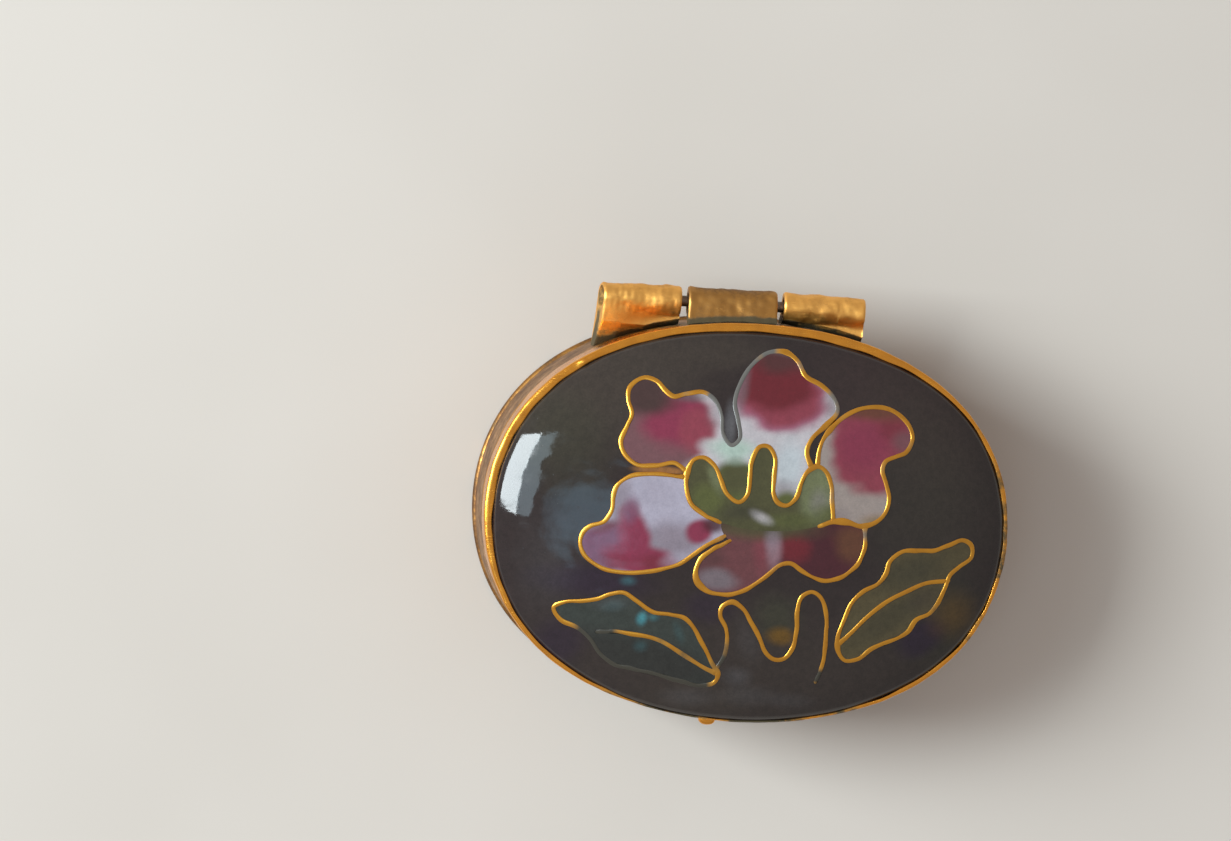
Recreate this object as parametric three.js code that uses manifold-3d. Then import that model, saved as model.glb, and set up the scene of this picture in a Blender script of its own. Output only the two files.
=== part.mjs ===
// A small oval pill box: a brass base and a hinged brass lid whose domed plate carries a cloisonne enamel flower.
// Millimetres, +Z up, +X along the oval, the hinge at +Y. The origin is the centre of the underside.
import * as THREE from 'three';
import { mergeVertices } from 'three/addons/utils/BufferGeometryUtils.js';
import Module from 'manifold-3d';

const wasm = await Module();
wasm.setup();

// ---- The oval: x²/a² + y²/b² - SQUARENESS x²y²/(a²b²) = 1 ----
const LENGTH = 33.0; // outside of the walls, along X
const WIDTH = 25.0; // outside of the walls, along Y
const SQUARENESS = 0.2; // 0 is an ellipse, more fills the shoulders
const OVAL_STEPS = 40; // sides of the faceted oval

// ---- Base ----
const BASE_HEIGHT = 7.2; // underside to the seam
const WALL = 0.45;
const FLOOR = 0.6;
const FOOT_LIP = 0.18; // the floor plate stands out of the wall by this
const EDGE_BREAK = 0.1; // bevel on the sheet metal's free edges
const COLLAR_WALL = 0.35;
const COLLAR_RISE = 0.95; // above the seam
const COLLAR_DEPTH = 2.2; // below the seam
const COLLAR_CLEARANCE = 0.1; // the lid slides over the collar with this much air

// ---- Lid ----
const LID_HEIGHT = 2.8; // seam to the top of the bezel
const SEAM_GAP = 0.05;
const BEZEL_WIDTH = 0.55;
const BEZEL_ROUND = 0.2;
const BEZEL_STEPS = 3; // facets of the bezel's rounded edge
const BEARER_HEIGHT = 0.55;
const BEARER_WIDTH = 0.8;
const EDGE_DROP = 0.15; // the enamel's edge lies this far under the top of the bezel
const DOME_RISE = 3.0;
const DOME_FULLNESS = 0.62; // the dome is rise (1 - fill)^fullness: 0.5 is an ellipsoid, 1 a paraboloid
const DOME_RINGS = [0, 0.45, 0.75, 0.92, 1];
const COUNTER_RINGS = 4; // the counter enamel stops one ring short of the plate's seat
const PLATE_THICKNESS = 0.4;
const ENAMEL_DEPTH = 0.55;
const COUNTER_DEPTH = 0.25;
const FIT_GAP = 0.03; // between pieces that are soldered, fired or seated together

// ---- Thumb nib, on the lid's front ----
const NIB_WIDTH = 1.1;
const NIB_REACH = 0.45;
const NIB_HEIGHT = 1.0;
const NIB_CENTRE_ABOVE_SEAM = 1.3;

// ---- Hinge: two knuckles on the base, one on the lid, one pin ----
const HINGE_CENTRE_X = -1.6;
const HINGE_STANDOFF = 1.05; // wall to the pin's axis
const KNUCKLE_RADIUS = 0.93;
const KNUCKLE_END_RADIUS = 0.86; // the outer knuckles taper to this at their free ends
const OUTER_KNUCKLE_LENGTH = 5.15;
const CENTRE_KNUCKLE_LENGTH = 5.6;
const KNUCKLE_GAP = 0.45;
const BORE_RADIUS = 0.4;
const PIN_RADIUS = 0.34;
const PIN_RECESS = 0.55; // from the hinge's ends to the pin's ends
const GUSSET_DROP = 1.9; // how far the base's gussets run down the wall from the seam
const GUSSET_RISE = 1.2; // and how far the lid's runs up it
const HINGE_SIDES = 20;

// ---- Cloisonne ----
const WIRE_WIDTH = 0.32;
const WIRE_PROUD = 0.05; // the wires stand out of the enamel by this
const SAMPLES_PER_POINT = 2;
const FUSED_SEAM = 0.04; // where two enamels meet with no wire between them

// ---- Worked out from the sizes above ----
const SEAM_Z = BASE_HEIGHT;
const BAND_BOTTOM_Z = SEAM_Z + SEAM_GAP;
const RIM_Z = BAND_BOTTOM_Z + LID_HEIGHT;
const ENAMEL_EDGE_Z = RIM_Z - EDGE_DROP;
const ENAMEL_FLOOR_Z = ENAMEL_EDGE_Z - ENAMEL_DEPTH;
const PLATE_TOP_Z = ENAMEL_FLOOR_Z - FIT_GAP;
const PLATE_SEAT_Z = PLATE_TOP_Z - PLATE_THICKNESS;
const BEARER_TOP_Z = PLATE_SEAT_Z - FIT_GAP;
const COLLAR_INSET = WALL + FIT_GAP;
const BAND_INSET = COLLAR_INSET - COLLAR_CLEARANCE; // the band is thinner than the base's wall
const PLATE_INSET = BAND_INSET + FIT_GAP;
const ENAMEL_INSET = BEZEL_WIDTH + FIT_GAP;
const COUNTER_INSET = PLATE_INSET + BEARER_WIDTH + FIT_GAP;
const HINGE_Y = WIDTH / 2 + HINGE_STANDOFF;
const BIG = 100; // longer than anything it cuts
const WELD = 1e-5; // points closer than this are one point
const PROBE_HALF = FIT_GAP; // half the side of the square pin that finds a field by its seed

const COLOURS = {
  brass: ['#b8862f', 0.32, 1],
  brassWorn: ['#8d6a2c', 0.42, 1],
  steel: ['#77706a', 0.4, 1],
  copper: ['#9a5a3c', 0.45, 1],
  ground: ['#1c1a1c', 0.12, 0],
  magenta: ['#8a2458', 0.14, 0],
  white: ['#c9d2d0', 0.14, 0],
  green: ['#4b6a3c', 0.14, 0],
  leafDark: ['#14332d', 0.14, 0],
  leafOlive: ['#2c3020', 0.14, 0],
  counter: ['#2f6f86', 0.2, 0],
};

// ---- Helpers: three.js geometry to solids and back ----

// A closed geometry as a solid for joining and cutting.
function solidOf(geometry) {
  const bare = geometry.clone();
  bare.deleteAttribute('normal');
  bare.deleteAttribute('uv');
  const merged = mergeVertices(bare, WELD);
  return new wasm.Manifold(new wasm.Mesh({
    numProp: 3,
    vertProperties: merged.attributes.position.array,
    triVerts: new Uint32Array(merged.index.array),
  }));
}

// A solid as a flat-shaded geometry.
function geometryOf(solid) {
  const mesh = solid.getMesh();
  const geometry = new THREE.BufferGeometry();
  geometry.setAttribute('position', new THREE.BufferAttribute(mesh.vertProperties, 3));
  geometry.setIndex(new THREE.BufferAttribute(mesh.triVerts, 1));
  geometry.computeVertexNormals();
  return geometry;
}

const cutBy = (solid, cutters) => cutters.reduce((left, cutter) => left.subtract(cutter), solid);

// ---- Helpers: ovals ----

// The point of the outline at angle t, for the oval that lies inset inside the walls' outside.
function outlinePoint(t, inset) {
  const reach = Math.sqrt(2 / (1 + Math.sqrt(1 - SQUARENESS * Math.sin(2 * t) ** 2)));
  return [(LENGTH / 2 - inset) * reach * Math.cos(t), (WIDTH / 2 - inset) * reach * Math.sin(t)];
}

// The dome's height over its own edge at (x, y), for a dome whose edge is the oval at inset.
function domeRise(x, y, inset) {
  const u = (x / (LENGTH / 2 - inset)) ** 2;
  const v = (y / (WIDTH / 2 - inset)) ** 2;
  const left = Math.max(0, 1 - (u + v - SQUARENESS * u * v));
  return left < WELD ? 0 : DOME_RISE * left ** DOME_FULLNESS;
}

// A profile of [inset, share, z] rows carried round the oval: share 0 is the middle and 1 the oval
// at that inset, and z may be a function of x and y. The lathe gives the skin and its order of
// points, which are then moved from the circle to the oval.
function ovalSolid(rows) {
  const profile = rows.map(([, share], row) => new THREE.Vector2(share, row));
  const lathe = new THREE.LatheGeometry(profile, OVAL_STEPS);
  const position = lathe.attributes.position;
  for (let i = 0; i < position.count; i += 1) {
    const [inset, share, z] = rows[i % rows.length];
    const step = Math.floor(i / rows.length) % OVAL_STEPS;
    const point = outlinePoint((2 * Math.PI * step) / OVAL_STEPS, inset).map((c) => c * share);
    position.setXYZ(i, ...point, typeof z === 'function' ? z(...point) : z);
  }
  return solidOf(lathe);
}

// A ring of sheet metal between two insets, with its free outer edges bevelled.
function ovalRing(outer, inner, bottom, top, bottomBreak, topBreak) {
  return ovalSolid([
    [inner, 1, bottom],
    [outer + bottomBreak, 1, bottom],
    [outer, 1, bottom + bottomBreak],
    [outer, 1, top - topBreak],
    [outer + topBreak, 1, top],
    [inner, 1, top],
    [inner, 1, bottom],
  ]);
}

// A plain oval column that fills everything inside the inset, to cut with.
function ovalColumn(inset, bottom, top) {
  return ovalSolid([[inset, 0, bottom], [inset, 1, bottom], [inset, 1, top], [inset, 0, top]]);
}

// The layer between two copies of one dome, from its underside to its top side.
function domedLayer(inset, bottom, top, rings, curveInset) {
  const height = (base) => (x, y) => base + domeRise(x, y, curveInset);
  const under = rings.map((share) => [inset, share, height(bottom)]);
  const over = [...rings].reverse().map((share) => [inset, share, height(top)]);
  return ovalSolid([...under, ...over]);
}

// ---- Helpers: outlines raised into prisms ----

function prism(points, bottom, top) {
  const shape = new THREE.Shape(points.map(([x, y]) => new THREE.Vector2(x, y)));
  const geometry = new THREE.ExtrudeGeometry(shape, { depth: top - bottom, bevelEnabled: false });
  return solidOf(geometry.translate(0, 0, bottom));
}

// A block whose outline is drawn in the YZ plane and carried along X.
function alongX(points, start, end) {
  const shape = new THREE.Shape(points.map(([y, z]) => new THREE.Vector2(y, z)));
  const geometry = new THREE.ExtrudeGeometry(shape, { depth: end - start, bevelEnabled: false });
  const turn = new THREE.Matrix4().makeBasis(
    new THREE.Vector3(0, 1, 0),
    new THREE.Vector3(0, 0, 1),
    new THREE.Vector3(1, 0, 0),
  );
  return solidOf(geometry.applyMatrix4(turn).translate(start, 0, 0));
}

// A round bar along X at the hinge's axis, from one radius to another.
function hingeBar(start, end, startRadius, endRadius) {
  const bar = new THREE.CylinderGeometry(endRadius, startRadius, end - start, HINGE_SIDES);
  bar.rotateZ(-Math.PI / 2).translate((start + end) / 2, HINGE_Y, SEAM_Z);
  return solidOf(bar);
}

// ---- The drawing: where each wire runs, on a lid of DRAWN_LENGTH by DRAWN_WIDTH ----
// It is stretched with the lid. A wire that meets another ends on that wire's middle line.
const DRAWN_LENGTH = 33.0;
const DRAWN_WIDTH = 25.0;
const WIRES = {
  wire_centre: { points: [
    [-2.1, 0.15], [-3.0, 0.5], [-3.9, 1.15], [-4.3, 2.2], [-4.3, 3.1], [-3.95, 3.9], [-3.3, 4.1],
    [-2.7, 3.7], [-2.2, 2.8], [-1.75, 1.9], [-1.0, 1.48], [-0.5, 1.95], [-0.4, 3.0], [-0.33, 4.1],
    [0.1, 4.95], [0.65, 5.0], [1.08, 4.4], [1.13, 3.2], [1.12, 2.2], [1.45, 1.6], [2.0, 1.42],
    [2.5, 1.85], [2.85, 2.9], [3.2, 3.65], [3.8, 3.97], [4.4, 3.6], [4.73, 2.8], [4.85, 1.8],
    [4.98, 0.6],
  ] },
  wire_right_petal: { points: [
    [3.8, 3.97], [3.85, 4.9], [4.1, 5.75], [4.75, 6.6], [5.6, 7.3], [6.6, 7.72], [7.7, 7.83],
    [8.7, 7.5], [9.45, 6.85], [9.77, 6.0], [9.4, 5.15], [8.75, 4.85], [8.1, 4.5], [7.93, 3.9],
    [8.2, 3.1], [8.45, 2.2], [8.25, 1.3], [7.7, 0.7], [6.8, 0.42], [5.9, 0.62], [4.98, 0.6],
    [4.15, 0.28],
  ] },
  wire_upper_petals: { points: [
    [-4.3, 3.15], [-5.1, 3.62], [-6.3, 3.4], [-7.4, 3.4], [-8.2, 3.95], [-8.48, 4.8], [-8.1, 5.8],
    [-7.9, 6.45], [-8.15, 7.3], [-8.1, 8.1], [-7.2, 8.75], [-6.45, 8.6], [-5.9, 8.05],
    [-5.35, 7.7], [-4.6, 7.9], [-3.6, 8.1], [-2.8, 7.65], [-2.35, 6.7], [-2.2, 5.6],
    [-1.65, 4.95], [-1.15, 5.4], [-1.3, 6.5], [-1.55, 7.6], [-1.25, 8.8], [-0.6, 9.9],
    [0.4, 10.75], [1.5, 10.87], [2.3, 10.35], [2.85, 9.45], [3.8, 8.95], [4.65, 8.2],
    [4.9, 7.4], [4.15, 6.5], [3.35, 5.65], [3.08, 4.8], [3.4, 3.85],
  ] },
  wire_lower_left_petal: { points: [
    [-4.3, 2.82], [-5.6, 2.87], [-7.0, 2.83], [-7.9, 2.6], [-8.5, 2.1], [-8.75, 1.3],
    [-8.82, 0.4], [-9.2, -0.25], [-10.0, -0.58], [-10.5, -1.1], [-10.6, -1.75], [-10.2, -2.5],
    [-9.4, -3.05], [-8.3, -3.33], [-7.0, -3.3], [-5.6, -3.03], [-4.5, -2.62], [-3.6, -1.95],
    [-2.9, -1.38], [-1.75, -0.68],
  ] },
  wire_bottom_petal: { points: [
    [-1.4, -0.95], [-2.4, -1.55], [-3.05, -2.1], [-3.38, -2.9], [-3.2, -3.65], [-2.5, -4.18],
    [-1.5, -4.33], [-0.5, -4.1], [0.4, -3.55], [1.2, -2.85], [1.9, -2.25], [2.5, -2.13],
    [3.2, -2.55], [4.0, -2.95], [5.0, -3.07], [5.9, -2.75], [6.65, -2.05], [7.05, -1.2],
    [7.1, -0.4], [7.0, 0.45],
  ] },
  wire_leaf_left: { closed: true, points: [
    [-11.9, -5.85], [-11.3, -5.47], [-10.3, -5.3], [-9.3, -5.12], [-8.5, -4.75], [-7.7, -4.6],
    [-6.9, -5.05], [-5.8, -5.7], [-4.7, -5.78], [-3.8, -5.95], [-3.1, -6.7], [-2.5, -7.65],
    [-1.9, -8.65], [-1.45, -9.35], [-1.6, -9.95], [-2.3, -10.2], [-3.6, -10.02], [-5.2, -9.65],
    [-6.8, -9.4], [-8.0, -9.15], [-8.9, -8.5], [-9.5, -7.7], [-10.4, -7.0], [-11.4, -6.6],
  ] },
  wire_leaf_left_vein: { points: [
    [-9.15, -7.2], [-7.9, -7.1], [-6.5, -7.22], [-5.2, -7.48], [-4.1, -8.05], [-2.9, -8.75],
    [-2.2, -9.08], [-1.45, -9.35],
  ] },
  wire_leaf_right: { closed: true, points: [
    [6.0, -7.6], [5.85, -6.8], [6.1, -5.7], [6.5, -4.5], [7.2, -3.65], [8.1, -3.15],
    [8.55, -2.5], [8.8, -1.7], [9.5, -1.05], [10.5, -0.93], [11.5, -0.9], [12.5, -0.52],
    [13.4, -0.17], [14.0, -0.45], [14.05, -1.2], [13.3, -1.87], [12.75, -2.4], [12.5, -3.2],
    [12.1, -4.2], [11.6, -4.85], [10.8, -5.3], [10.3, -6.1], [9.3, -6.7], [8.2, -7.2],
    [7.3, -7.93], [6.5, -8.1],
  ] },
  wire_leaf_right_vein: { points: [
    [5.9, -7.1], [6.7, -6.3], [7.6, -5.25], [8.7, -4.3], [10.0, -3.53], [11.3, -2.93],
    [12.65, -2.75],
  ] },
  wire_stem: { points: [
    [-1.6, -9.1], [-1.2, -8.3], [-1.05, -7.3], [-1.2, -6.45], [-1.62, -5.75], [-1.55, -5.1],
    [-0.95, -4.75], [-0.3, -5.1], [0.25, -5.85], [0.85, -6.8], [1.35, -7.75], [2.0, -8.25],
    [2.65, -8.12], [3.1, -7.4], [3.22, -6.3], [3.17, -5.1], [3.4, -4.15], [3.95, -3.85],
    [4.55, -4.15], [4.95, -5.0], [5.1, -6.3], [5.12, -7.6], [5.0, -8.8], [4.75, -9.55],
  ] },
};

// Where two enamels were fused with no wire between them.
const FUSED_SEAMS = [
  { points: [[-2.1, 0.15], [-0.6, -0.15], [1.2, -0.2], [3.0, 0.0], [4.15, 0.28]] },
  { points: [[-2.1, 0.15], [-1.75, -0.68], [-1.4, -0.95]] },
];

// Each field of enamel: a point that lies in it, and its colour.
const FIELDS = {
  ground_enamel: [[0, -11], 'ground'],
  ground_enamel_chip: [[3.5, 4.95], 'ground'],
  enamel_upper_petals: [[-5, 6], 'magenta'],
  enamel_right_petal: [[7, 5], 'magenta'],
  enamel_lower_left_petal: [[-6, 0], 'white'],
  enamel_bottom_petal: [[4, -1.5], 'magenta'],
  enamel_centre: [[3.6, 2.5], 'green'],
  enamel_leaf_left: [[-8, -6], 'leafDark'],
  enamel_leaf_right_upper: [[10.5, -2], 'leafOlive'],
  enamel_leaf_right_lower: [[9.5, -5.2], 'leafOlive'],
};

const onLid = ([x, y]) => [(x * LENGTH) / DRAWN_LENGTH, (y * WIDTH) / DRAWN_WIDTH];

// The smooth line through a wire's points, with the sideways direction at each place on it.
function wireLine({ points, closed = false }) {
  const knots = points.map((point) => new THREE.Vector3(...onLid(point), 0));
  const curve = new THREE.CatmullRomCurve3(knots, closed, 'centripetal');
  const steps = SAMPLES_PER_POINT * (closed ? points.length : points.length - 1);
  const count = closed ? steps : steps + 1;
  return Array.from({ length: count }, (_, i) => {
    const place = curve.getPoint(i / steps);
    const along = curve.getTangent(i / steps);
    return { x: place.x, y: place.y, sideX: -along.y, sideY: along.x };
  });
}

// A strip of the given width along the line, as a prism that runs right through the lid.
function strip(wire, width) {
  const line = wireLine(wire);
  const edge = (shift) => line.map((p) => [p.x + p.sideX * shift, p.y + p.sideY * shift]);
  const sides = [edge(width / 2), edge(-width / 2)];
  if (!wire.closed) return prism([...sides[0], ...sides[1].reverse()], 0, RIM_Z + BIG);
  const [inside, outside] = sides
    .map((side) => prism(side, 0, RIM_Z + BIG))
    .sort((first, second) => first.volume() - second.volume());
  return outside.subtract(inside);
}

// ---- Base ----

function makeFloor() {
  const lip = -FOOT_LIP;
  return ovalSolid([
    [lip, 0, 0],
    [lip + EDGE_BREAK, 1, 0],
    [lip, 1, EDGE_BREAK],
    [lip, 1, FLOOR - EDGE_BREAK],
    [lip + EDGE_BREAK, 1, FLOOR],
    [lip, 0, FLOOR],
  ]);
}

const makeBaseWall = () => ovalRing(0, WALL, FLOOR + FIT_GAP, SEAM_Z, 0, EDGE_BREAK);

const makeCollar = () => ovalRing(
  COLLAR_INSET,
  COLLAR_INSET + COLLAR_WALL,
  SEAM_Z - COLLAR_DEPTH,
  SEAM_Z + COLLAR_RISE,
  0,
  EDGE_BREAK,
);

// ---- Lid ----

// The band is one strip whose top is folded in over the plate as a rounded bezel.
function makeBand() {
  const lip = Array.from({ length: BEZEL_STEPS + 1 }, (_, step) => {
    const turn = (step / BEZEL_STEPS) * (Math.PI / 2);
    return [
      BEZEL_ROUND * (1 - Math.sin(turn)),
      1,
      RIM_Z - BEZEL_ROUND * (1 - Math.cos(turn)),
    ];
  });
  return ovalSolid([
    [BAND_INSET, 1, BAND_BOTTOM_Z],
    [0, 1, BAND_BOTTOM_Z],
    ...lip.reverse(),
    [BEZEL_WIDTH - BEZEL_ROUND / 2, 1, RIM_Z],
    [BEZEL_WIDTH, 1, RIM_Z - BEZEL_ROUND],
    [BEZEL_WIDTH, 1, ENAMEL_FLOOR_Z],
    [BAND_INSET, 1, ENAMEL_FLOOR_Z],
    [BAND_INSET, 1, BAND_BOTTOM_Z],
  ]);
}

function makeBearer() {
  const outer = BAND_INSET + FIT_GAP;
  return ovalRing(outer, outer + BEARER_WIDTH, BEARER_TOP_Z - BEARER_HEIGHT, BEARER_TOP_Z, 0, 0);
}

// The copper plate: domed over the enamel's outline, with a flat seat round its edge.
function makePlate() {
  const over = (x, y) => PLATE_TOP_Z + domeRise(x, y, ENAMEL_INSET);
  const under = (x, y) => PLATE_SEAT_Z + domeRise(x, y, COUNTER_INSET);
  return ovalSolid([
    ...DOME_RINGS.map((share) => [COUNTER_INSET, share, under]),
    [PLATE_INSET, 1, PLATE_SEAT_Z],
    [PLATE_INSET, 1, PLATE_TOP_Z],
    ...[...DOME_RINGS].reverse().map((share) => [ENAMEL_INSET, share, over]),
  ]);
}

function makeCounterEnamel() {
  const top = PLATE_SEAT_Z - FIT_GAP;
  const rings = DOME_RINGS.slice(0, COUNTER_RINGS);
  return domedLayer(COUNTER_INSET, top - COUNTER_DEPTH, top, rings, COUNTER_INSET);
}

// The nib is a short half-round bar against the band's front.
function makeNib() {
  const nib = new THREE.CylinderGeometry(NIB_WIDTH / 2, NIB_WIDTH / 2, NIB_HEIGHT, HINGE_SIDES);
  const front = frontWallY(HINGE_CENTRE_X);
  const reach = NIB_REACH / (NIB_WIDTH / 2);
  nib.rotateX(Math.PI / 2).scale(1, reach, 1);
  nib.translate(HINGE_CENTRE_X, front, BAND_BOTTOM_Z + NIB_CENTRE_ABOVE_SEAM);
  return solidOf(nib).subtract(ovalColumn(-FIT_GAP, 0, RIM_Z + BIG));
}

// Where the front wall's outside lies at x.
function frontWallY(x) {
  const u = (x / (LENGTH / 2)) ** 2;
  return (-WIDTH / 2) * Math.sqrt((1 - u) / (1 - SQUARENESS * u));
}

// ---- Hinge ----

// A knuckle with its gusset: the gusset fills the wedge between the tube and the wall that it is
// soldered to, downwards from the seam on the base and upwards on the lid.
function makeKnuckle(start, end, startRadius, endRadius, up) {
  const tube = hingeBar(start, end, startRadius, endRadius);
  const edge = up ? BAND_BOTTOM_Z : SEAM_Z - SEAM_GAP;
  const tip = SEAM_Z + (up ? KNUCKLE_END_RADIUS : -KNUCKLE_END_RADIUS);
  const far = SEAM_Z + (up ? GUSSET_RISE : -GUSSET_DROP);
  const inside = WIDTH / 4;
  const outside = WIDTH / 2;
  const gusset = alongX(
    [[inside, edge], [HINGE_Y, edge], [HINGE_Y, tip], [outside, far], [inside, far]],
    start,
    end,
  );
  const bore = hingeBar(start - BORE_RADIUS, end + BORE_RADIUS, BORE_RADIUS, BORE_RADIUS);
  const body = ovalColumn(-FIT_GAP, 0, RIM_Z + BIG);
  return tube.add(gusset).subtract(body).subtract(bore);
}

function makeHinge() {
  const reach = CENTRE_KNUCKLE_LENGTH / 2;
  const inner = reach + KNUCKLE_GAP;
  const outer = inner + OUTER_KNUCKLE_LENGTH;
  const at = (x) => HINGE_CENTRE_X + x;
  const [full, thin] = [KNUCKLE_RADIUS, KNUCKLE_END_RADIUS];
  const pinEnd = outer - PIN_RECESS;
  return {
    hinge_knuckle_left: makeKnuckle(at(-outer), at(-inner), thin, full, false),
    hinge_knuckle_right: makeKnuckle(at(inner), at(outer), full, thin, false),
    hinge_knuckle_centre: makeKnuckle(at(-reach), at(reach), full, full, true),
    hinge_pin: hingeBar(at(-pinEnd), at(pinEnd), PIN_RADIUS, PIN_RADIUS),
  };
}

// ---- Enamel and wires ----

// Each wire is cut clear of those laid before it, and the wires and the fused seams then divide
// the enamel layer into its fields.
function makeCloisonne() {
  const layer = (top) => domedLayer(ENAMEL_INSET, ENAMEL_FLOOR_Z, top, DOME_RINGS, ENAMEL_INSET);
  const wireLayer = layer(ENAMEL_EDGE_Z + WIRE_PROUD);
  const made = {};
  const channels = [];
  for (const [name, wire] of Object.entries(WIRES)) {
    made[name] = cutBy(wireLayer.intersect(strip(wire, WIRE_WIDTH)), channels);
    channels.push(strip(wire, WIRE_WIDTH + 2 * FIT_GAP));
  }
  const seams = FUSED_SEAMS.map((seam) => strip(seam, FUSED_SEAM));
  const bodies = cutBy(layer(ENAMEL_EDGE_Z), [...channels, ...seams]).decompose();
  for (const [name, [seed]] of Object.entries(FIELDS)) {
    const [x, y] = onLid(seed);
    const corners = [[-1, -1], [1, -1], [1, 1], [-1, 1]];
    const pin = corners.map(([dx, dy]) => [x + dx * PROBE_HALF, y + dy * PROBE_HALF]);
    const probe = prism(pin, 0, RIM_Z + BIG);
    made[name] = bodies.find((body) => body.intersect(probe).volume() > 0);
  }
  return made;
}

// ---- The box ----

const FINISHES = {
  base_floor: 'brassWorn',
  base_wall: 'brassWorn',
  base_collar: 'brass',
  lid_band: 'brass',
  lid_bearer: 'brassWorn',
  thumb_nib: 'brass',
  dome_plate: 'copper',
  counter_enamel: 'counter',
  hinge_knuckle_left: 'brass',
  hinge_knuckle_centre: 'brassWorn',
  hinge_knuckle_right: 'brass',
  hinge_pin: 'steel',
};

const solids = {
  base_floor: makeFloor(),
  base_wall: makeBaseWall(),
  base_collar: makeCollar(),
  lid_band: makeBand(),
  lid_bearer: makeBearer(),
  thumb_nib: makeNib(),
  dome_plate: makePlate(),
  counter_enamel: makeCounterEnamel(),
  ...makeHinge(),
  ...makeCloisonne(),
};

const pillBox = new THREE.Group();
pillBox.name = 'pill_box';
for (const [name, solid] of Object.entries(solids)) {
  const finish = FINISHES[name] ?? (FIELDS[name] ? FIELDS[name][1] : 'brass');
  const [color, roughness, metalness] = COLOURS[finish];
  const material = new THREE.MeshStandardMaterial({ color, roughness, metalness, flatShading: true });
  const mesh = new THREE.Mesh(geometryOf(solid), material);
  mesh.name = name;
  pillBox.add(mesh);
}

export default pillBox;
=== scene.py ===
"""A small oval brass pill box whose domed lid carries a cloisonne enamel flower.

The base is an oval tray with a collar. The lid is a brass band that holds an enamelled copper plate, and it
turns on a hinge of three rolled knuckles. Lengths are in millimetres, until a piece is laid in metres.
"""

import logging
import math
from collections.abc import Callable, Iterable
from dataclasses import dataclass, field
from enum import Enum

import bpy
import numpy as np
from mathutils import Matrix, Vector


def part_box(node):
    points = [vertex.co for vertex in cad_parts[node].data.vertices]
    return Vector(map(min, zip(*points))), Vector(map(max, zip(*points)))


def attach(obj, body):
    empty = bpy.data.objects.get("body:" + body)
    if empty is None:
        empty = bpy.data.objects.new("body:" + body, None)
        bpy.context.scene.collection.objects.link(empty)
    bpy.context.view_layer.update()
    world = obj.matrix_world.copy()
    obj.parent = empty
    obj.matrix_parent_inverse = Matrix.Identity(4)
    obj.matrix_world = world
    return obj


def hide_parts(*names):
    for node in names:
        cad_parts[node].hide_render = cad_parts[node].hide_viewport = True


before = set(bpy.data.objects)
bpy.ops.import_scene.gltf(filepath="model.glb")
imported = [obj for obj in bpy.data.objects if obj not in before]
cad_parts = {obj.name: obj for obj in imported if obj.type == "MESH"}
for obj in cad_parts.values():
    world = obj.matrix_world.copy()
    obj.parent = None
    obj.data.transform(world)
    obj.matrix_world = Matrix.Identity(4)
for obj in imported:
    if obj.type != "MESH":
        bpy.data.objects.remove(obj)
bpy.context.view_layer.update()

METRE = 0.001  # metres in a millimetre

log = logging.getLogger("pill_box")
Colour = tuple[float, float, float]


class Body(Enum):
    """The two halves that the hinge joins."""

    BASE = "base"
    LID = "lid"


# ---- sizes read from the model


def span(node: str) -> tuple[np.ndarray, np.ndarray]:
    """The lowest and highest corners of one node at rest, in millimetres.

    Args:
        node: The node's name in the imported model.

    Returns:
        The two corners as arrays of three numbers.
    """
    low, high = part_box(node)
    return np.array(low) / METRE, np.array(high) / METRE


@dataclass(frozen=True)
class RoundedOval:
    """The plan of every wall: an oval whose shoulders are a little squared.

    On the outline, the squares of x over the half length and of y over the half width add up to one, after
    squareness times their product is taken off.
    """

    half_length: float
    half_width: float
    squareness: float = 0.2

    def outline(self, turn: np.ndarray, inset: np.ndarray) -> tuple[np.ndarray, np.ndarray]:
        """The outline at an angle, for the oval that lies inset inside this one.

        Args:
            turn: Angles round the oval, in radians.
            inset: How far inside the walls' outside, in millimetres.

        Returns:
            The x and y of each point.
        """
        reach = np.sqrt(2 / (1 + np.sqrt(1 - self.squareness * np.sin(2 * turn) ** 2)))
        x = (self.half_length - inset) * reach * np.cos(turn)
        y = (self.half_width - inset) * reach * np.sin(turn)
        return x, y

    def turn_at(self, x: np.ndarray, y: np.ndarray) -> np.ndarray:
        """The outline's angle towards each place."""
        return np.arctan2(y / self.half_width, x / self.half_length)

    def fill(self, x: np.ndarray, y: np.ndarray, inset: np.ndarray) -> np.ndarray:
        """How far out each place lies, on the oval at that inset.

        Args:
            x: First coordinate of each place.
            y: Second coordinate of each place.
            inset: How far inside the walls' outside the oval lies.

        Returns:
            Zero in the middle and one on the outline.
        """
        u = (x / (self.half_length - inset)) ** 2
        v = (y / (self.half_width - inset)) ** 2
        return u + v - self.squareness * u * v

    def side_y(self, x: np.ndarray) -> np.ndarray:
        """How far from the long axis the outline lies at x."""
        u = np.minimum((x / self.half_length) ** 2, 1)
        return self.half_width * np.sqrt((1 - u) / (1 - self.squareness * u))


@dataclass(frozen=True)
class Dome:
    """The plate's crown: rise times (1 - fill) to the power of fullness."""

    oval: RoundedOval
    inset: float
    rise: float = 3.0
    fullness: float = 0.62

    def foot(self, turn: np.ndarray) -> np.ndarray:
        """The inset at which the crown starts, for each angle."""
        return self.inset + 0 * turn

    def height(self, x: np.ndarray, y: np.ndarray) -> np.ndarray:
        """How far the crown stands over its own edge.

        Args:
            x: First coordinate of each place.
            y: Second coordinate of each place.

        Returns:
            The height at each place.
        """
        foot = self.foot(self.oval.turn_at(x, y))
        left = np.clip(1 - self.oval.fill(x, y, foot), 0, 1)
        return self.rise * left**self.fullness


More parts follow.
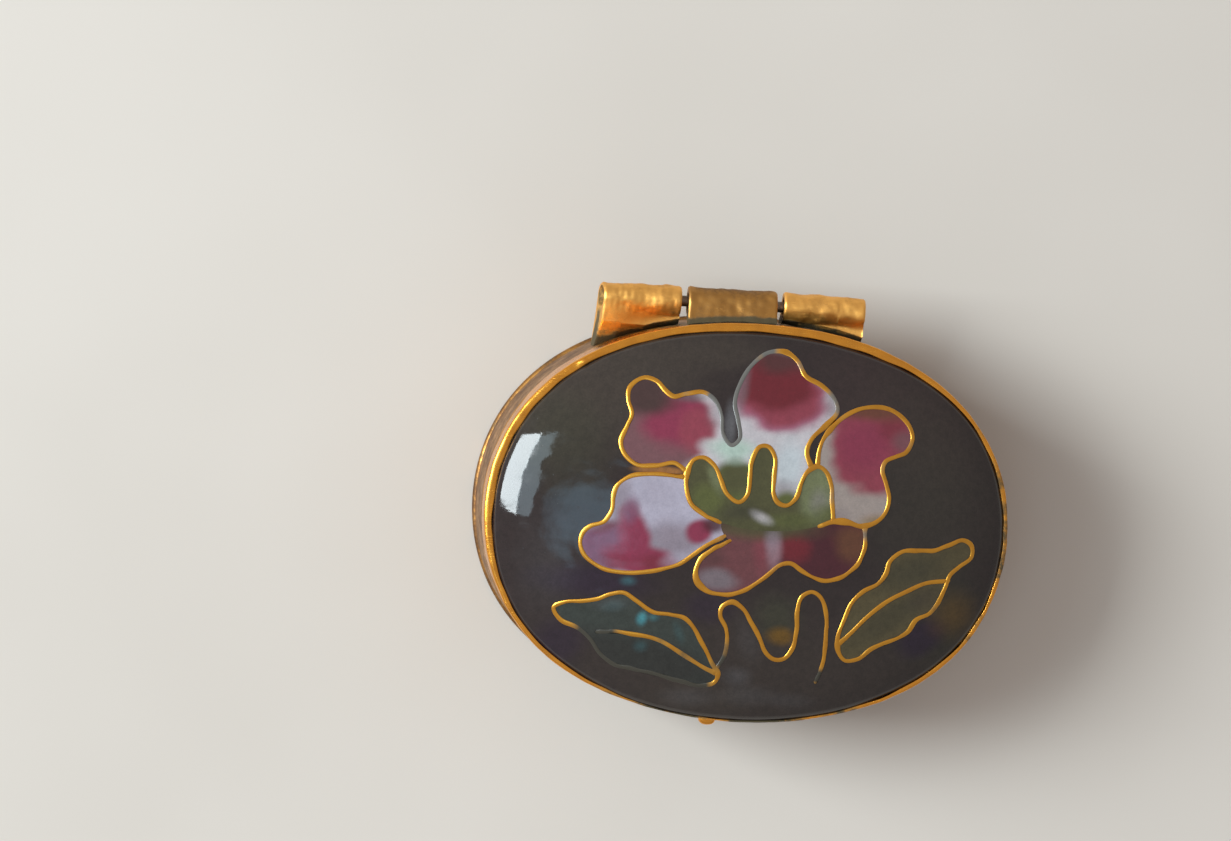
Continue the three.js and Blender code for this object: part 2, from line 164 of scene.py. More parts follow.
@dataclass(frozen=True)
class GlazedDome(Dome):
    """The crown of the glass, which runs out to the bezel's uneven inner edge."""

    def foot(self, turn: np.ndarray) -> np.ndarray:
        """The inset of the bezel's inner edge, for each angle."""
        return bezel_width(turn)


BEZEL = 0.55  # the folded-in bezel's width at the hinge


def bezel_width(turn: np.ndarray) -> np.ndarray:
    """How far the bezel reaches in over the glass: it was pressed down by hand, and came out uneven.

    It is widest along the hinge and the left, loses a quarter of a millimetre on the right and along the
    front, and more at the very front. A slow wave is added.

    Args:
        turn: Angles round the oval.

    Returns:
        The width at each angle.
    """
    right = smooth(np.cos(turn), 0.35, 0.95)
    front = smooth(-np.sin(turn), 0.0, 0.65)
    lowest = smooth(-np.sin(turn), 0.75, 1.0)
    thin_side = 1 - (1 - right) * (1 - front)
    return BEZEL - 0.25 * thin_side - 0.17 * lowest + 0.02 * np.sin(5 * turn + 1)


# ---- surfaces


def ripple(x: np.ndarray, y: np.ndarray, wavelength: float, seed: int, waves: int = 7) -> np.ndarray:
    """A soft irregular surface between about -1 and 1: the mean of seeded sine waves.

    Args:
        x: First coordinate of each place.
        y: Second coordinate of each place.
        wavelength: Typical distance from crest to crest, in the coordinates' unit.
        seed: Which pattern.
        waves: How many sine waves are added.

    Returns:
        The height at each place.
    """
    dice = np.random.default_rng(seed)
    heading = dice.uniform(0, 2 * np.pi, waves)
    length = wavelength * dice.uniform(0.7, 1.5, waves)
    start = dice.uniform(0, 2 * np.pi, waves)
    across = np.cos(heading) / length
    along = np.sin(heading) / length
    phase = 2 * np.pi * (x[..., None] * across + y[..., None] * along) + start
    return np.sin(phase).mean(-1) * math.sqrt(waves / 2)


def smooth(value: np.ndarray, low: float, high: float) -> np.ndarray:
    """Zero below low, one above high, and an S-shaped rise between them."""
    share = np.clip((value - low) / (high - low), 0, 1)
    return share * share * (3 - 2 * share)


def weave(rows: int, columns: int, wrap_rows: bool, wrap_columns: bool) -> np.ndarray:
    """The four-sided faces of a grid of points that are numbered row by row.

    Args:
        rows: Number of rows.
        columns: Number of points in a row.
        wrap_rows: Whether the last row joins the first.
        wrap_columns: Whether a row's last point joins its first.

    Returns:
        One row of four point numbers for each face.
    """
    row = np.arange(rows if wrap_rows else rows - 1)[:, None]
    column = np.arange(columns if wrap_columns else columns - 1)[None, :]
    next_row = (row + 1) % rows
    next_column = (column + 1) % columns
    corners = [
        row * columns + column,
        row * columns + next_column,
        next_row * columns + next_column,
        next_row * columns + column,
    ]
    return np.stack(corners, -1).reshape(-1, 4)


def rounded_loop(
    corners: list[tuple[float, float]],
    radius: float | tuple[float, ...],
    arc_steps: int = 5,
    side_steps: int = 3,
) -> tuple[np.ndarray, np.ndarray]:
    """A closed profile with eased corners.

    A corner is the parabola that leaves one side a radius before it and meets the next a radius after it, and
    each side is divided evenly between two such arcs.

    Args:
        corners: The sharp profile, in order.
        radius: How far the easing reaches along the sides, for all corners or for each.
        arc_steps: Divisions of an eased corner.
        side_steps: Points laid on each straight side.

    Returns:
        The points, and for each point how near it is to an eased corner, from 0 to 1.
    """
    sharp = np.asarray(corners, float)
    reach = np.broadcast_to(np.asarray(radius, float), len(sharp))[:, None]
    forward = np.roll(sharp, -1, 0) - sharp
    forward = forward / np.linalg.norm(forward, axis=1, keepdims=True)
    leave = (sharp - np.roll(forward, 1, 0) * reach)[:, None]
    meet = (sharp + forward * reach)[:, None]
    s = np.linspace(0, 1, arc_steps + 1)[None, :, None]
    arc = (1 - s) ** 2 * leave + 2 * s * (1 - s) * sharp[:, None] + s**2 * meet
    w = np.linspace(0, 1, side_steps + 2)[1:-1][None, :, None]
    side = meet * (1 - w) + np.roll(leave, -1, 0) * w
    points = np.concatenate([arc, side], 1).reshape(-1, 2)
    nearness = np.concatenate([1 - np.abs(2 * s[0, :, 0] - 1), np.zeros(side_steps)])
    return points, np.tile(nearness, len(sharp))


@dataclass
class Skin:
    """The closed surface of one piece, in millimetres, with values that its finish reads."""

    points: np.ndarray
    quads: np.ndarray
    triangles: np.ndarray = field(default_factory=lambda: np.zeros((0, 3), int))
    marks: dict[str, np.ndarray] = field(default_factory=dict)

    def volume(self) -> float:
        """Adds up the solids between the origin and each face.

        Returns:
            Six times the volume inside, which is negative when the faces point inwards.
        """
        split = [self.quads[:, [0, 1, 2]], self.quads[:, [0, 2, 3]], self.triangles]
        a, b, c = np.moveaxis(self.points[np.concatenate(split)], 1, 0)
        return float(np.einsum("ij,ij->", a, np.cross(b, c)))

    def turned_out(self) -> "Skin":
        """Turns the faces outwards where they point inwards.

        Returns:
            This skin.
        """
        if self.volume() < 0:
            self.quads = self.quads[:, ::-1]
            self.triangles = self.triangles[:, ::-1]
        return self


def capped_tube(sections: np.ndarray, marks: dict[str, np.ndarray] | None = None) -> Skin:
    """A tube through a row of sections, closed by a fan at each end.

    Args:
        sections: Points by section, by place round the section, by coordinate.
        marks: Values for each point of the sections.

    Returns:
        The closed skin. Each fan's hub is the middle of its end section.
    """
    count, sides, _ = sections.shape
    hubs = sections[[0, -1]].mean(1)
    here = np.arange(sides)
    after = (here + 1) % sides
    last = (count - 1) * sides
    near_fan = np.stack([np.full(sides, count * sides), after, here], -1)
    far_fan = np.stack([np.full(sides, count * sides + 1), last + here, last + after], -1)
    kept = {
        name: np.concatenate([value.reshape(count * sides, *value.shape[2:]), value[[0, -1], 0]])
        for name, value in (marks or {}).items()
    }
    points = np.concatenate([sections.reshape(-1, 3), hubs])
    quads = weave(count, sides, False, True)
    return Skin(points, quads, np.concatenate([near_fan, far_fan]), kept).turned_out()


# ---- finishes


class NodeTray:
    """A node tree being wired, with short calls to add nodes and join sockets."""

    def __init__(self, tree: bpy.types.NodeTree) -> None:
        """Holds the tree that the calls work on."""
        self.tree = tree

    def put(self, kind: str, inputs: dict | None = None, **settings: object) -> bpy.types.Node:
        """Adds a node, sets its options, and feeds or sets its inputs.

        Args:
            kind: The node's type, without the ShaderNode prefix.
            inputs: Socket names or numbers, each with a value or with the socket that feeds it.
            settings: The node's own options.

        Returns:
            The new node.
        """
        node = self.tree.nodes.new(kind if kind.startswith("Node") else "ShaderNode" + kind)
        for option, value in settings.items():
            setattr(node, option, value)
        for key, value in (inputs or {}).items():
            if isinstance(value, bpy.types.NodeSocket):
                self.tree.links.new(value, node.inputs[key])
            else:
                node.inputs[key].default_value = value
        return node

    def noise(
        self, place: bpy.types.NodeSocket, scale: float, detail: float = 4, rough: float = 0.55
    ) -> bpy.types.NodeSocket:
        """A cloudy value between 0 and 1 at each place."""
        inputs = {"Vector": place, "Scale": scale, "Detail": detail, "Roughness": rough}
        return self.put("TexNoise", inputs).outputs["Fac"]

    def ramp(
        self, value: bpy.types.NodeSocket, low: float, high: float, to: tuple[float, float] = (0.0, 1.0)
    ) -> bpy.types.NodeSocket:
        """A smooth step from the first of two numbers to the second, between low and high."""
        inputs = {"Value": value, "From Min": low, "From Max": high, "To Min": to[0], "To Max": to[1]}
        return self.put("MapRange", inputs, interpolation_type="SMOOTHSTEP").outputs["Result"]

    def sum(self, operation: str, *values: object) -> bpy.types.NodeSocket:
        """One step of arithmetic on sockets or numbers, kept between 0 and 1."""
        inputs = dict(enumerate(values))
        return self.put("Math", inputs, operation=operation, use_clamp=True).outputs[0]

    def blend(self, share: object, first: object, second: object, how: str = "MIX") -> bpy.types.NodeSocket:
        """A mix of two colours, by a share between 0 and 1."""
        inputs = {"Factor": share, 6: first, 7: second}
        return self.put("Mix", inputs, data_type="RGBA", blend_type=how).outputs[2]


def node_group(name: str, inputs: dict[str, str], outputs: dict[str, str]) -> NodeTray:
    """An empty shader node group with named sockets.

    Args:
        name: The group's name.
        inputs: Each input's name and kind: Float, Color or Vector.
        outputs: Each output's name and kind.

    Returns:
        The tray of the new group, with its Group Input node made.
    """
    tree = bpy.data.node_groups.new(name, "ShaderNodeTree")
    for direction, sockets in (("INPUT", inputs), ("OUTPUT", outputs)):
        for socket, kind in sockets.items():
            tree.interface.new_socket(socket, in_out=direction, socket_type="NodeSocket" + kind)
    tree.nodes.new("NodeGroupInput")
    return NodeTray(tree)


def brass_age_group() -> bpy.types.NodeTree:
    """Brass that darkens and greens where it isn't handled: clouds of brown, and green where its patina and
    painted shade input is high.

    Returns:
        The group's tree.
    """
    tray = node_group(
        "brass_age",
        {
            "Vector": "Vector",
            **dict.fromkeys(("Clean", "Brown", "Green"), "Color"),
            **dict.fromkeys(("Tarnish", "Patina and shade", "Rub and highlight", "Polish"), "Float"),
        },
        {"Color": "Color", "Roughness": "Float", "Metallic": "Float", "Height": "Float"},
    )
    given = tray.tree.nodes["Group Input"].outputs
    place = given["Vector"]
    cloud = tray.noise(place, 0.55, 6, 0.62)
    fleck = tray.noise(place, 3.4, 5, 0.7)
    both = tray.sum("MULTIPLY_ADD", fleck, 0.42, tray.sum("MULTIPLY", cloud, 0.62))
    wanted = tray.sum("SUBTRACT", given["Tarnish"], tray.sum("MULTIPLY", given["Rub and highlight"], 0.7))
    level = tray.sum("ADD", both, tray.sum("MULTIPLY_ADD", wanted, 0.62, -0.12))
    dulled = tray.ramp(level, 0.52, 0.86)
    green_cloud = tray.noise(place, 1.3, 5, 0.68)
    green_level = tray.sum("MULTIPLY_ADD", green_cloud, 0.7, tray.sum("MULTIPLY", given["Patina and shade"], 0.55))
    greened = tray.sum("MULTIPLY", tray.ramp(green_level, 0.5, 0.78), tray.ramp(given["Patina and shade"], 0.02, 0.3))
    shade = tray.noise(place, 0.9, 3, 0.5)
    clean = tray.blend(tray.ramp(shade, 0.3, 0.7, (0.0, 0.22)), given["Clean"], given["Brown"])
    colour = tray.blend(greened, tray.blend(dulled, clean, given["Brown"]), given["Green"])
    rough = tray.sum("MULTIPLY_ADD", dulled, 0.2, given["Polish"])
    rough = tray.sum("MULTIPLY_ADD", greened, 0.28, tray.sum("MULTIPLY_ADD", fleck, 0.08, rough))
    crust = tray.sum("MULTIPLY_ADD", greened, 0.75, tray.sum("MULTIPLY", dulled, 0.12))
    metal = tray.sum("SUBTRACT", 1.0, crust)
    skin = tray.sum("MULTIPLY_ADD", fleck, 0.35, tray.sum("MULTIPLY", cloud, 0.3))
    height = tray.sum("MULTIPLY_ADD", greened, 0.4, skin)
    tray.put("NodeGroupOutput", {"Color": colour, "Roughness": rough, "Metallic": metal, "Height": height})
    return tray.tree


def hand_scratches_group() -> bpy.types.NodeTree:
    """Fine scratches in two directions, from handling and wiping: noise stretched into hairlines.

    Returns:
        The group's tree.
    """
    tray = node_group("hand_scratches", {"Vector": "Vector", "Density": "Float"}, {"Lines": "Float"})
    given = tray.tree.nodes["Group Input"].outputs
    lines = []
    for turn, stretch in ((0.5, 14.0), (-0.9, 18.0)):
        placed = tray.put(
            "Mapping",
            {"Vector": given["Vector"], "Rotation": (0.2, 0.1, turn), "Scale": (0.7, stretch, stretch)},
        )
        hair = tray.noise(placed.outputs[0], 1.0, 3, 0.6)
        lines.append(tray.ramp(hair, 0.58, 0.7))
    both = tray.sum("MAXIMUM", *lines)
    patchy = tray.ramp(tray.noise(given["Vector"], 0.6, 2), 0.4, 0.65)
    found = tray.sum("MULTIPLY", tray.sum("MULTIPLY", both, patchy), given["Density"])
    tray.put("NodeGroupOutput", {"Lines": found})
    return tray.tree


def fired_glass_group() -> bpy.types.NodeTree:
    """Fired and ground glass: grainy colour, a slightly wavy skin and open pits.

    Returns:
        The group's tree.
    """
    tray = node_group(
        "fired_glass",
        {"Vector": "Vector", "Color": "Color", "Grain": "Float", "Pitting": "Float"},
        {"Color": "Color", "Roughness": "Float", "Height": "Float"},
    )
    given = tray.tree.nodes["Group Input"].outputs
    place = given["Vector"]
    clots = tray.noise(place, 2.3, 5, 0.62)
    grains = tray.noise(place, 9.0, 3, 0.6)
    light = tray.ramp(tray.sum("MULTIPLY_ADD", grains, 0.45, tray.sum("MULTIPLY", clots, 0.55)), 0.3, 0.7)
    lighter = tray.blend(1.0, given["Color"], (1.45, 1.42, 1.4, 1), "MULTIPLY")
    darker = tray.blend(1.0, given["Color"], (0.66, 0.68, 0.7, 1), "MULTIPLY")
    colour = tray.blend(given["Grain"], given["Color"], tray.blend(light, darker, lighter))
    cell = tray.put("TexVoronoi", {"Vector": place, "Scale": 1.9, "Randomness": 1.0}).outputs["Distance"]
    chosen = tray.ramp(tray.noise(place, 1.1, 2), 0.5, 0.62)
    pit = tray.sum("MULTIPLY", tray.sum("SUBTRACT", 1.0, tray.ramp(cell, 0.03, 0.085)), chosen)
    pit = tray.sum("MULTIPLY", pit, given["Pitting"])
    colour = tray.blend(tray.sum("MULTIPLY", pit, 0.6), colour, (0.01, 0.01, 0.01, 1))
    smear = tray.ramp(tray.noise(place, 0.8, 5, 0.6), 0.45, 0.75, (0.05, 0.16))
    rough = tray.sum("MULTIPLY_ADD", pit, 0.5, smear)
    wave = tray.noise(place, 1.4, 3, 0.5)
    height = tray.sum("SUBTRACT", tray.sum("MULTIPLY", wave, 0.9), tray.sum("MULTIPLY", pit, 0.5))
    tray.put("NodeGroupOutput", {"Color": colour, "Roughness": rough, "Height": height})
    return tray.tree


@dataclass(frozen=True)
class EffectGroups:
    """The surface effects that several finishes share, each built once."""

    brass_age: bpy.types.NodeTree
    scratches: bpy.types.NodeTree
    fired_glass: bpy.types.NodeTree

    @classmethod
    def built(cls) -> "EffectGroups":
        """Builds the three groups."""
        return cls(brass_age_group(), hand_scratches_group(), fired_glass_group())


def new_material(name: str) -> tuple[bpy.types.Material, NodeTray, bpy.types.Node, bpy.types.NodeSocket]:
    """A material with a Principled shader and a place vector that counts in millimetres.

    Args:
        name: The material's name.

    Returns:
        The material, its tray, its shader node and the place vector's socket.
    """
    material = bpy.data.materials.new(name)
    material.use_nodes = True
    tray = NodeTray(material.node_tree)
    shader = material.node_tree.nodes["Principled BSDF"]
    where = tray.put("TexCoord").outputs["Object"]
    place = tray.put("Mapping", {"Vector": where, "Scale": (1 / METRE,) * 3}).outputs[0]
    return material, tray, shader, place


@dataclass(frozen=True)
class BrassFinish:
    """One state of the box's brass, from rubbed bright to brown and green."""

    name: str
    slot: str
    clean: Colour
    brown: Colour
    green: Colour = (0.066, 0.056, 0.03)
    tarnish: float = 0.4
    polish: float = 0.22
    scratches: float = 0.8
    relief: float = 0.012

    def material(self, effects: EffectGroups) -> bpy.types.Material:
        """Wires the finish.

        Args:
            effects: The shared effect groups.

        Returns:
            The material, which reads the piece's rub_and_highlight and patina_and_shade marks.
        """
        material, tray, shader, place = new_material(self.name)
        rub_and_highlight = tray.put("Attribute", attribute_name="rub_and_highlight").outputs["Fac"]
        patina_and_shade = tray.put("Attribute", attribute_name="patina_and_shade").outputs["Fac"]
        values = {
            "Vector": place,
            "Clean": (*self.clean, 1),
            "Brown": (*self.brown, 1),
            "Green": (*self.green, 1),
            "Tarnish": self.tarnish,
            "Patina and shade": patina_and_shade,
            "Rub and highlight": rub_and_highlight,
            "Polish": self.polish,
        }
        age = tray.put("Group", values, node_tree=effects.brass_age)
        scratched = {"Vector": place, "Density": self.scratches}
        hairs = tray.put("Group", scratched, node_tree=effects.scratches)
        lines = hairs.outputs["Lines"]
        height = tray.sum("SUBTRACT", age.outputs["Height"], tray.sum("MULTIPLY", lines, 0.35))
        bump = tray.put("Bump", {"Height": height, "Distance": self.relief * METRE, "Strength": 1.0})
        feed(tray, shader, "Base Color", age.outputs["Color"])
        feed(tray, shader, "Metallic", age.outputs["Metallic"])
        feed(tray, shader, "Roughness", tray.sum("MULTIPLY_ADD", lines, 0.12, age.outputs["Roughness"]))
        feed(tray, shader, "Normal", bump.outputs[0])
        return material


HINGE_GRIME_AND_SHADE = (0.085, 0.062, 0.028)  # grime and painted shade, between the knuckles and the walls and in the bores
AGED_BRASS = BrassFinish(
    "aged_brass", "brass_base", (0.62, 0.30, 0.07), (0.15, 0.07, 0.03), tarnish=0.55, polish=0.3
)
SATIN_BRASS = BrassFinish(
    "satin_brass", "brass_inside", (0.80, 0.46, 0.13), (0.34, 0.17, 0.06), tarnish=0.3, polish=0.3
)
RIM_BRASS = BrassFinish(
    "rim_brass", "brass_rim", (0.92, 0.40, 0.055), (0.34, 0.13, 0.035), (0.07, 0.055, 0.025), 0.3, 0.2
)
HINGE_BRASS = BrassFinish(
    "hinge_brass", "brass_hinge", (0.98, 0.52, 0.13), (0.44, 0.21, 0.06), HINGE_GRIME_AND_SHADE, 0.3, 0.44, relief=0.03
)
# A darker copy of the hinge brass for the centre knuckle: painted shade, with more tarnish.
SHADED_HINGE_BRASS = BrassFinish(
    "hinge_brass_shaded", "brass_hinge", (0.52, 0.26, 0.07), (0.23, 0.12, 0.045), HINGE_GRIME_AND_SHADE,
    tarnish=0.6, polish=0.4, relief=0.03,
)
PIN_STEEL = BrassFinish(
    "pin_wire", "steel_pin", (0.30, 0.27, 0.24), (0.14, 0.08, 0.05), tarnish=0.5, polish=0.35
)
FIRED_COPPER = BrassFinish(
    "fired_copper", "copper", (0.55, 0.25, 0.14), (0.16, 0.06, 0.04), tarnish=0.6, polish=0.35
)


@dataclass(frozen=True)
class WireFinish:
    """Cloison wire: ground flat with the glass, and veiled where glass ran over it."""

    name: str = "cloison_wire_brass"
    slot: str = "brass_wire"
    clean: Colour = (0.82, 0.40, 0.055)
    brown: Colour = (0.36, 0.13, 0.03)
    tarnish: float = 0.52
    polish: float = 0.26
    relief: float = 0.006

    def material(self, effects: EffectGroups) -> bpy.types.Material:
        """Wires the finish.

        Args:
            effects: The shared effect groups.

        Returns:
            The material, which reads the wire's rub and veil marks and the film of glass over it.
        """
        material, tray, shader, place = new_material(self.name)
        rub_and_highlight = tray.put("Attribute", attribute_name="rub_and_highlight").outputs["Fac"]
        veil = tray.put("Attribute", attribute_name="veil").outputs["Fac"]
        glass = tray.put("Attribute", attribute_name="film").outputs["Color"]
        values = {
            "Vector": place,
            "Clean": (*self.clean, 1),
            "Brown": (*self.brown, 1),
            "Green": (*self.brown, 1),
            "Tarnish": self.tarnish,
            "Patina and shade": 0.0,
            "Rub and highlight": rub_and_highlight,
            "Polish": self.polish,
        }
        age = tray.put("Group", values, node_tree=effects.brass_age)
        patchy = tray.sum("MULTIPLY_ADD", tray.noise(place, 2.6), 0.4, -0.2)
        film = tray.ramp(tray.sum("ADD", veil, patchy), 0.15, 0.85)
        colour = tray.blend(film, age.outputs["Color"], glass)
        bare = tray.sum("SUBTRACT", 1.0, film)
        bump = tray.put("Bump", {"Height": age.outputs["Height"], "Distance": self.relief * METRE})
        feed(tray, shader, "Base Color", colour)
        feed(tray, shader, "Metallic", tray.sum("MULTIPLY", age.outputs["Metallic"], bare))
        feed(tray, shader, "Roughness", age.outputs["Roughness"])
        feed(tray, shader, "Normal", bump.outputs[0])
        return material


@dataclass(frozen=True)
class GlassFinish:
    """One enamel: opaque glass whose colour is laid on the piece as its glaze mark."""

    name: str
    slot: str
    grain: float = 0.5
    pitting: float = 1.0
    wave: float = 0.006
    gloss: float = 1.5

    def material(self, effects: EffectGroups) -> bpy.types.Material:
        """Wires the finish.

        Args:
            effects: The shared effect groups.

        Returns:
            The material, which reads the piece's glaze mark.
        """
        material, tray, shader, place = new_material(self.name)
        glaze = tray.put("Attribute", attribute_name="glaze").outputs["Color"]
        values = {"Vector": place, "Color": glaze, "Grain": self.grain, "Pitting": self.pitting}
        fired = tray.put("Group", values, node_tree=effects.fired_glass)
        bump = tray.put("Bump", {"Height": fired.outputs["Height"], "Distance": self.wave * METRE})
        feed(tray, shader, "Base Color", fired.outputs["Color"])
        feed(tray, shader, "Roughness", fired.outputs["Roughness"])
        feed(tray, shader, "Normal", bump.outputs[0])
        shader.inputs["IOR"].default_value = self.gloss
        return material


def feed(tray: NodeTray, shader: bpy.types.Node, socket: str, value: bpy.types.NodeSocket) -> None:
    """Joins one value to one of the shader's sockets."""
    tray.tree.links.new(value, shader.inputs[socket])


Finish = BrassFinish | WireFinish | GlassFinish


# ---- laying pieces


@dataclass
class Bench:
    """Lays finished skins as objects and dresses them."""

    effects: EffectGroups
    materials: dict[str, bpy.types.Material] = field(default_factory=dict)
    crease: float = math.radians(38)

    def dressed(self, finish: Finish) -> bpy.types.Material:
        """Wires a finish the first time that it is asked for.

        Args:
            finish: The finish.

        Returns:
            Its material.
        """
        if finish.name not in self.materials:
            self.materials[finish.name] = finish.material(self.effects)
        return self.materials[finish.name]

    def lay(self, name: str, skin: Skin, body: Body, finish: Finish, node: str) -> None:
        """Makes one piece of the box.

        Args:
            name: The piece's name.
            skin: Its closed surface.
            body: The half that it moves with.
            finish: What it is dressed with.
            node: The model's node that it stands for.
        """
        mesh = bpy.data.meshes.new(name)
        mesh.vertices.add(len(skin.points))
        mesh.vertices.foreach_set("co", (skin.points * METRE).astype(np.float32).ravel())
        corners = np.concatenate([skin.quads.ravel(), skin.triangles.ravel()])
        sizes = np.concatenate([np.full(len(skin.quads), 4), np.full(len(skin.triangles), 3)])
        mesh.loops.add(len(corners))
        mesh.loops.foreach_set("vertex_index", corners.astype(np.int32))
        mesh.polygons.add(len(sizes))
        mesh.polygons.foreach_set("loop_start", (np.cumsum(sizes) - sizes).astype(np.int32))
        mesh.update(calc_edges=True)
        for mark, values in skin.marks.items():
            self._mark(mesh, mark, values)
        mesh.shade_smooth()
        mesh.set_sharp_from_angle(angle=self.crease)
        mesh.materials.append(self.dressed(finish))
        piece = bpy.data.objects.new(name, mesh)
        bpy.context.scene.collection.objects.link(piece)
        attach(piece, body.value)
        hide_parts(node)
        log.info("%s: %d points, %d faces, on the %s", name, len(skin.points), len(sizes), body.value)

    @staticmethod
    def _mark(mesh: bpy.types.Mesh, mark: str, values: np.ndarray) -> None:
        """Stores one value or colour for each point of the mesh.

        Args:
            mesh: The piece's mesh.
            mark: The mark's name.
            values: A number or three for each point.
        """
        if values.ndim == 1:
            layer = mesh.attributes.new(mark, "FLOAT", "POINT")
            layer.data.foreach_set("value", values.astype(np.float32))
            return
        layer = mesh.attributes.new(mark, "FLOAT_COLOR", "POINT")
        colours = np.concatenate([values, np.ones((len(values), 1))], 1)
        layer.data.foreach_set("color", colours.astype(np.float32).ravel())


# ---- brass bodywork


@dataclass(frozen=True)
class BoxSizes:
    """The driving sizes, read from the model's nodes."""

    oval: RoundedOval
    band_bottom: float
    rim: float
    hinge_y: float
    hinge_z: float

    @classmethod
    def from_model(cls) -> "BoxSizes":
        """Measures the walls, the lid's band and the hinge's pin.

        Returns:
            The sizes.
        """
        _, wall_high = span("base_wall")
        band_low, band_high = span("lid_band")
        pin_low, pin_high = span("hinge_pin")
        oval = RoundedOval(wall_high[0], wall_high[1])
        axis = (pin_low + pin_high) / 2
        return cls(oval, band_low[2], band_high[2], axis[1], axis[2])


@dataclass(frozen=True)
class Strip:
    """A strip of sheet brass bent round the oval: an eased profile carried along the outline."""

    oval: RoundedOval
    turns: int = 288
    dent: float = 0.03
    dent_length: float = 7.0

    def skin(
        self,
        corners: list[tuple[float, float]],
        radius: float | tuple[float, ...],
        seed: int,
        side_steps: int,
    ) -> Skin:
        """Carries a profile of inset and height round the oval.

        Each point is the outline at its inset plus a shallow dent that fades inwards, so that what fits
        inside stays true.

        Args:
            corners: The profile's corners as inset and height.
            radius: The easing of the corners.
            seed: Which dents.
            side_steps: Points on each straight side.

        Returns:
            The closed skin with its rub_and_highlight and patina_and_shade marks.
        """
        loop, edges = rounded_loop(corners, radius, side_steps=side_steps)
        turn = np.linspace(0, 2 * np.pi, self.turns, endpoint=False)[:, None]
        inset, z = loop[:, 0][None, :], loop[:, 1][None, :]
        arc = turn * (self.oval.half_length + self.oval.half_width) / 2
        depth = self.dent * ripple(arc + 0 * z, z + 0 * arc, self.dent_length, seed)
        x, y = self.oval.outline(turn, inset + depth * np.exp(-np.abs(inset) / 0.15))
        points = np.stack([x, y, z + 0 * x], -1)
        worn = 0.5 + 0.5 * ripple(arc + 0 * z, z * 2 + 0 * arc, 5.0, seed + 50)
        rub_and_highlight = np.clip(edges[None, :] * (0.6 + 0.6 * worn), 0, 1)
        patina_and_shade = patina_and_painted_shade(self.oval, points) + 0 * rub_and_highlight
        quads = weave(self.turns, len(loop), True, True)
        marks = {"rub_and_highlight": rub_and_highlight.ravel(), "patina_and_shade": patina_and_shade.ravel()}
        return Skin(points.reshape(-1, 3), quads, marks=marks).turned_out()


def patina_and_painted_shade(oval: RoundedOval, points: np.ndarray) -> np.ndarray:
    """Patina where no thumb wipes, with painted shade: most behind the hinge, outside the walls, and along
    the foot where the box meets the floor.

    Args:
        oval: The walls' oval.
        points: The points to judge.

    Returns:
        The patina and painted shade at each point, from 0 to 1.
    """
    y, z = points[..., 1], points[..., 2]
    outside = smooth(y - oval.side_y(points[..., 0]), -0.3, -0.1)
    # Behind the hinge, between the knuckles and the wall: patina and painted shade.
    near = 0.85 * smooth(y, 10.6, 12.6) * smooth(z, 3.6, 7.2) * (1 - smooth(z, 9.0, 9.9)) * outside
    # Darker along the foot by the floor: painted shade.
    foot = 0.55 * (1 - smooth(z, 0.4, 1.6))
    return np.clip(np.maximum(near, foot), 0, 1)


def oval_plate(
    oval: RoundedOval,
    rows: list[tuple[float, float, float]],
    turns: int,
    lift: Callable[[np.ndarray, np.ndarray], np.ndarray] | None = None,
) -> Skin:
    """A plate that fills the oval: a profile that starts and ends in the middle, carried round.

    Args:
        oval: The walls' oval.
        rows: The profile from the lower middle to the upper middle, as inset, share of that inset's oval
            and height. The first and last have a share of 0.
        turns: Divisions round the oval.
        lift: What is added to the height at x and y, or nothing for a flat plate.

    Returns:
        The closed skin, whose two middles are single points.
    """
    table = np.asarray(rows, float)
    inset, share, z = (table[:, k][:, None] for k in range(3))
    turn = np.linspace(0, 2 * np.pi, turns, endpoint=False)[None, :]
    x, y = oval.outline(turn, inset)
    x, y = x * share, y * share
    height = z + (lift(x, y) if lift else 0) + 0 * x
    points = np.stack([x, y, height], -1)
    inner = points[1:-1].reshape(-1, 3)
    poles = points[[0, -1], 0]
    count = len(rows) - 2
    here = np.arange(turns)
    after = (here + 1) % turns
    low_pole, high_pole = count * turns, count * turns + 1
    low_fan = np.stack([np.full(turns, low_pole), after, here], -1)
    top_row = (count - 1) * turns
    high_fan = np.stack([np.full(turns, high_pole), top_row + here, top_row + after], -1)
    sides = weave(count, turns, False, True)
    skin = Skin(np.concatenate([inner, poles]), sides, np.concatenate([low_fan, high_fan]))
    skin.marks["rub_and_highlight"] = np.zeros(len(skin.points))
    skin.marks["patina_and_shade"] = patina_and_painted_shade(oval, skin.points) * 0.6
    return skin.turned_out()


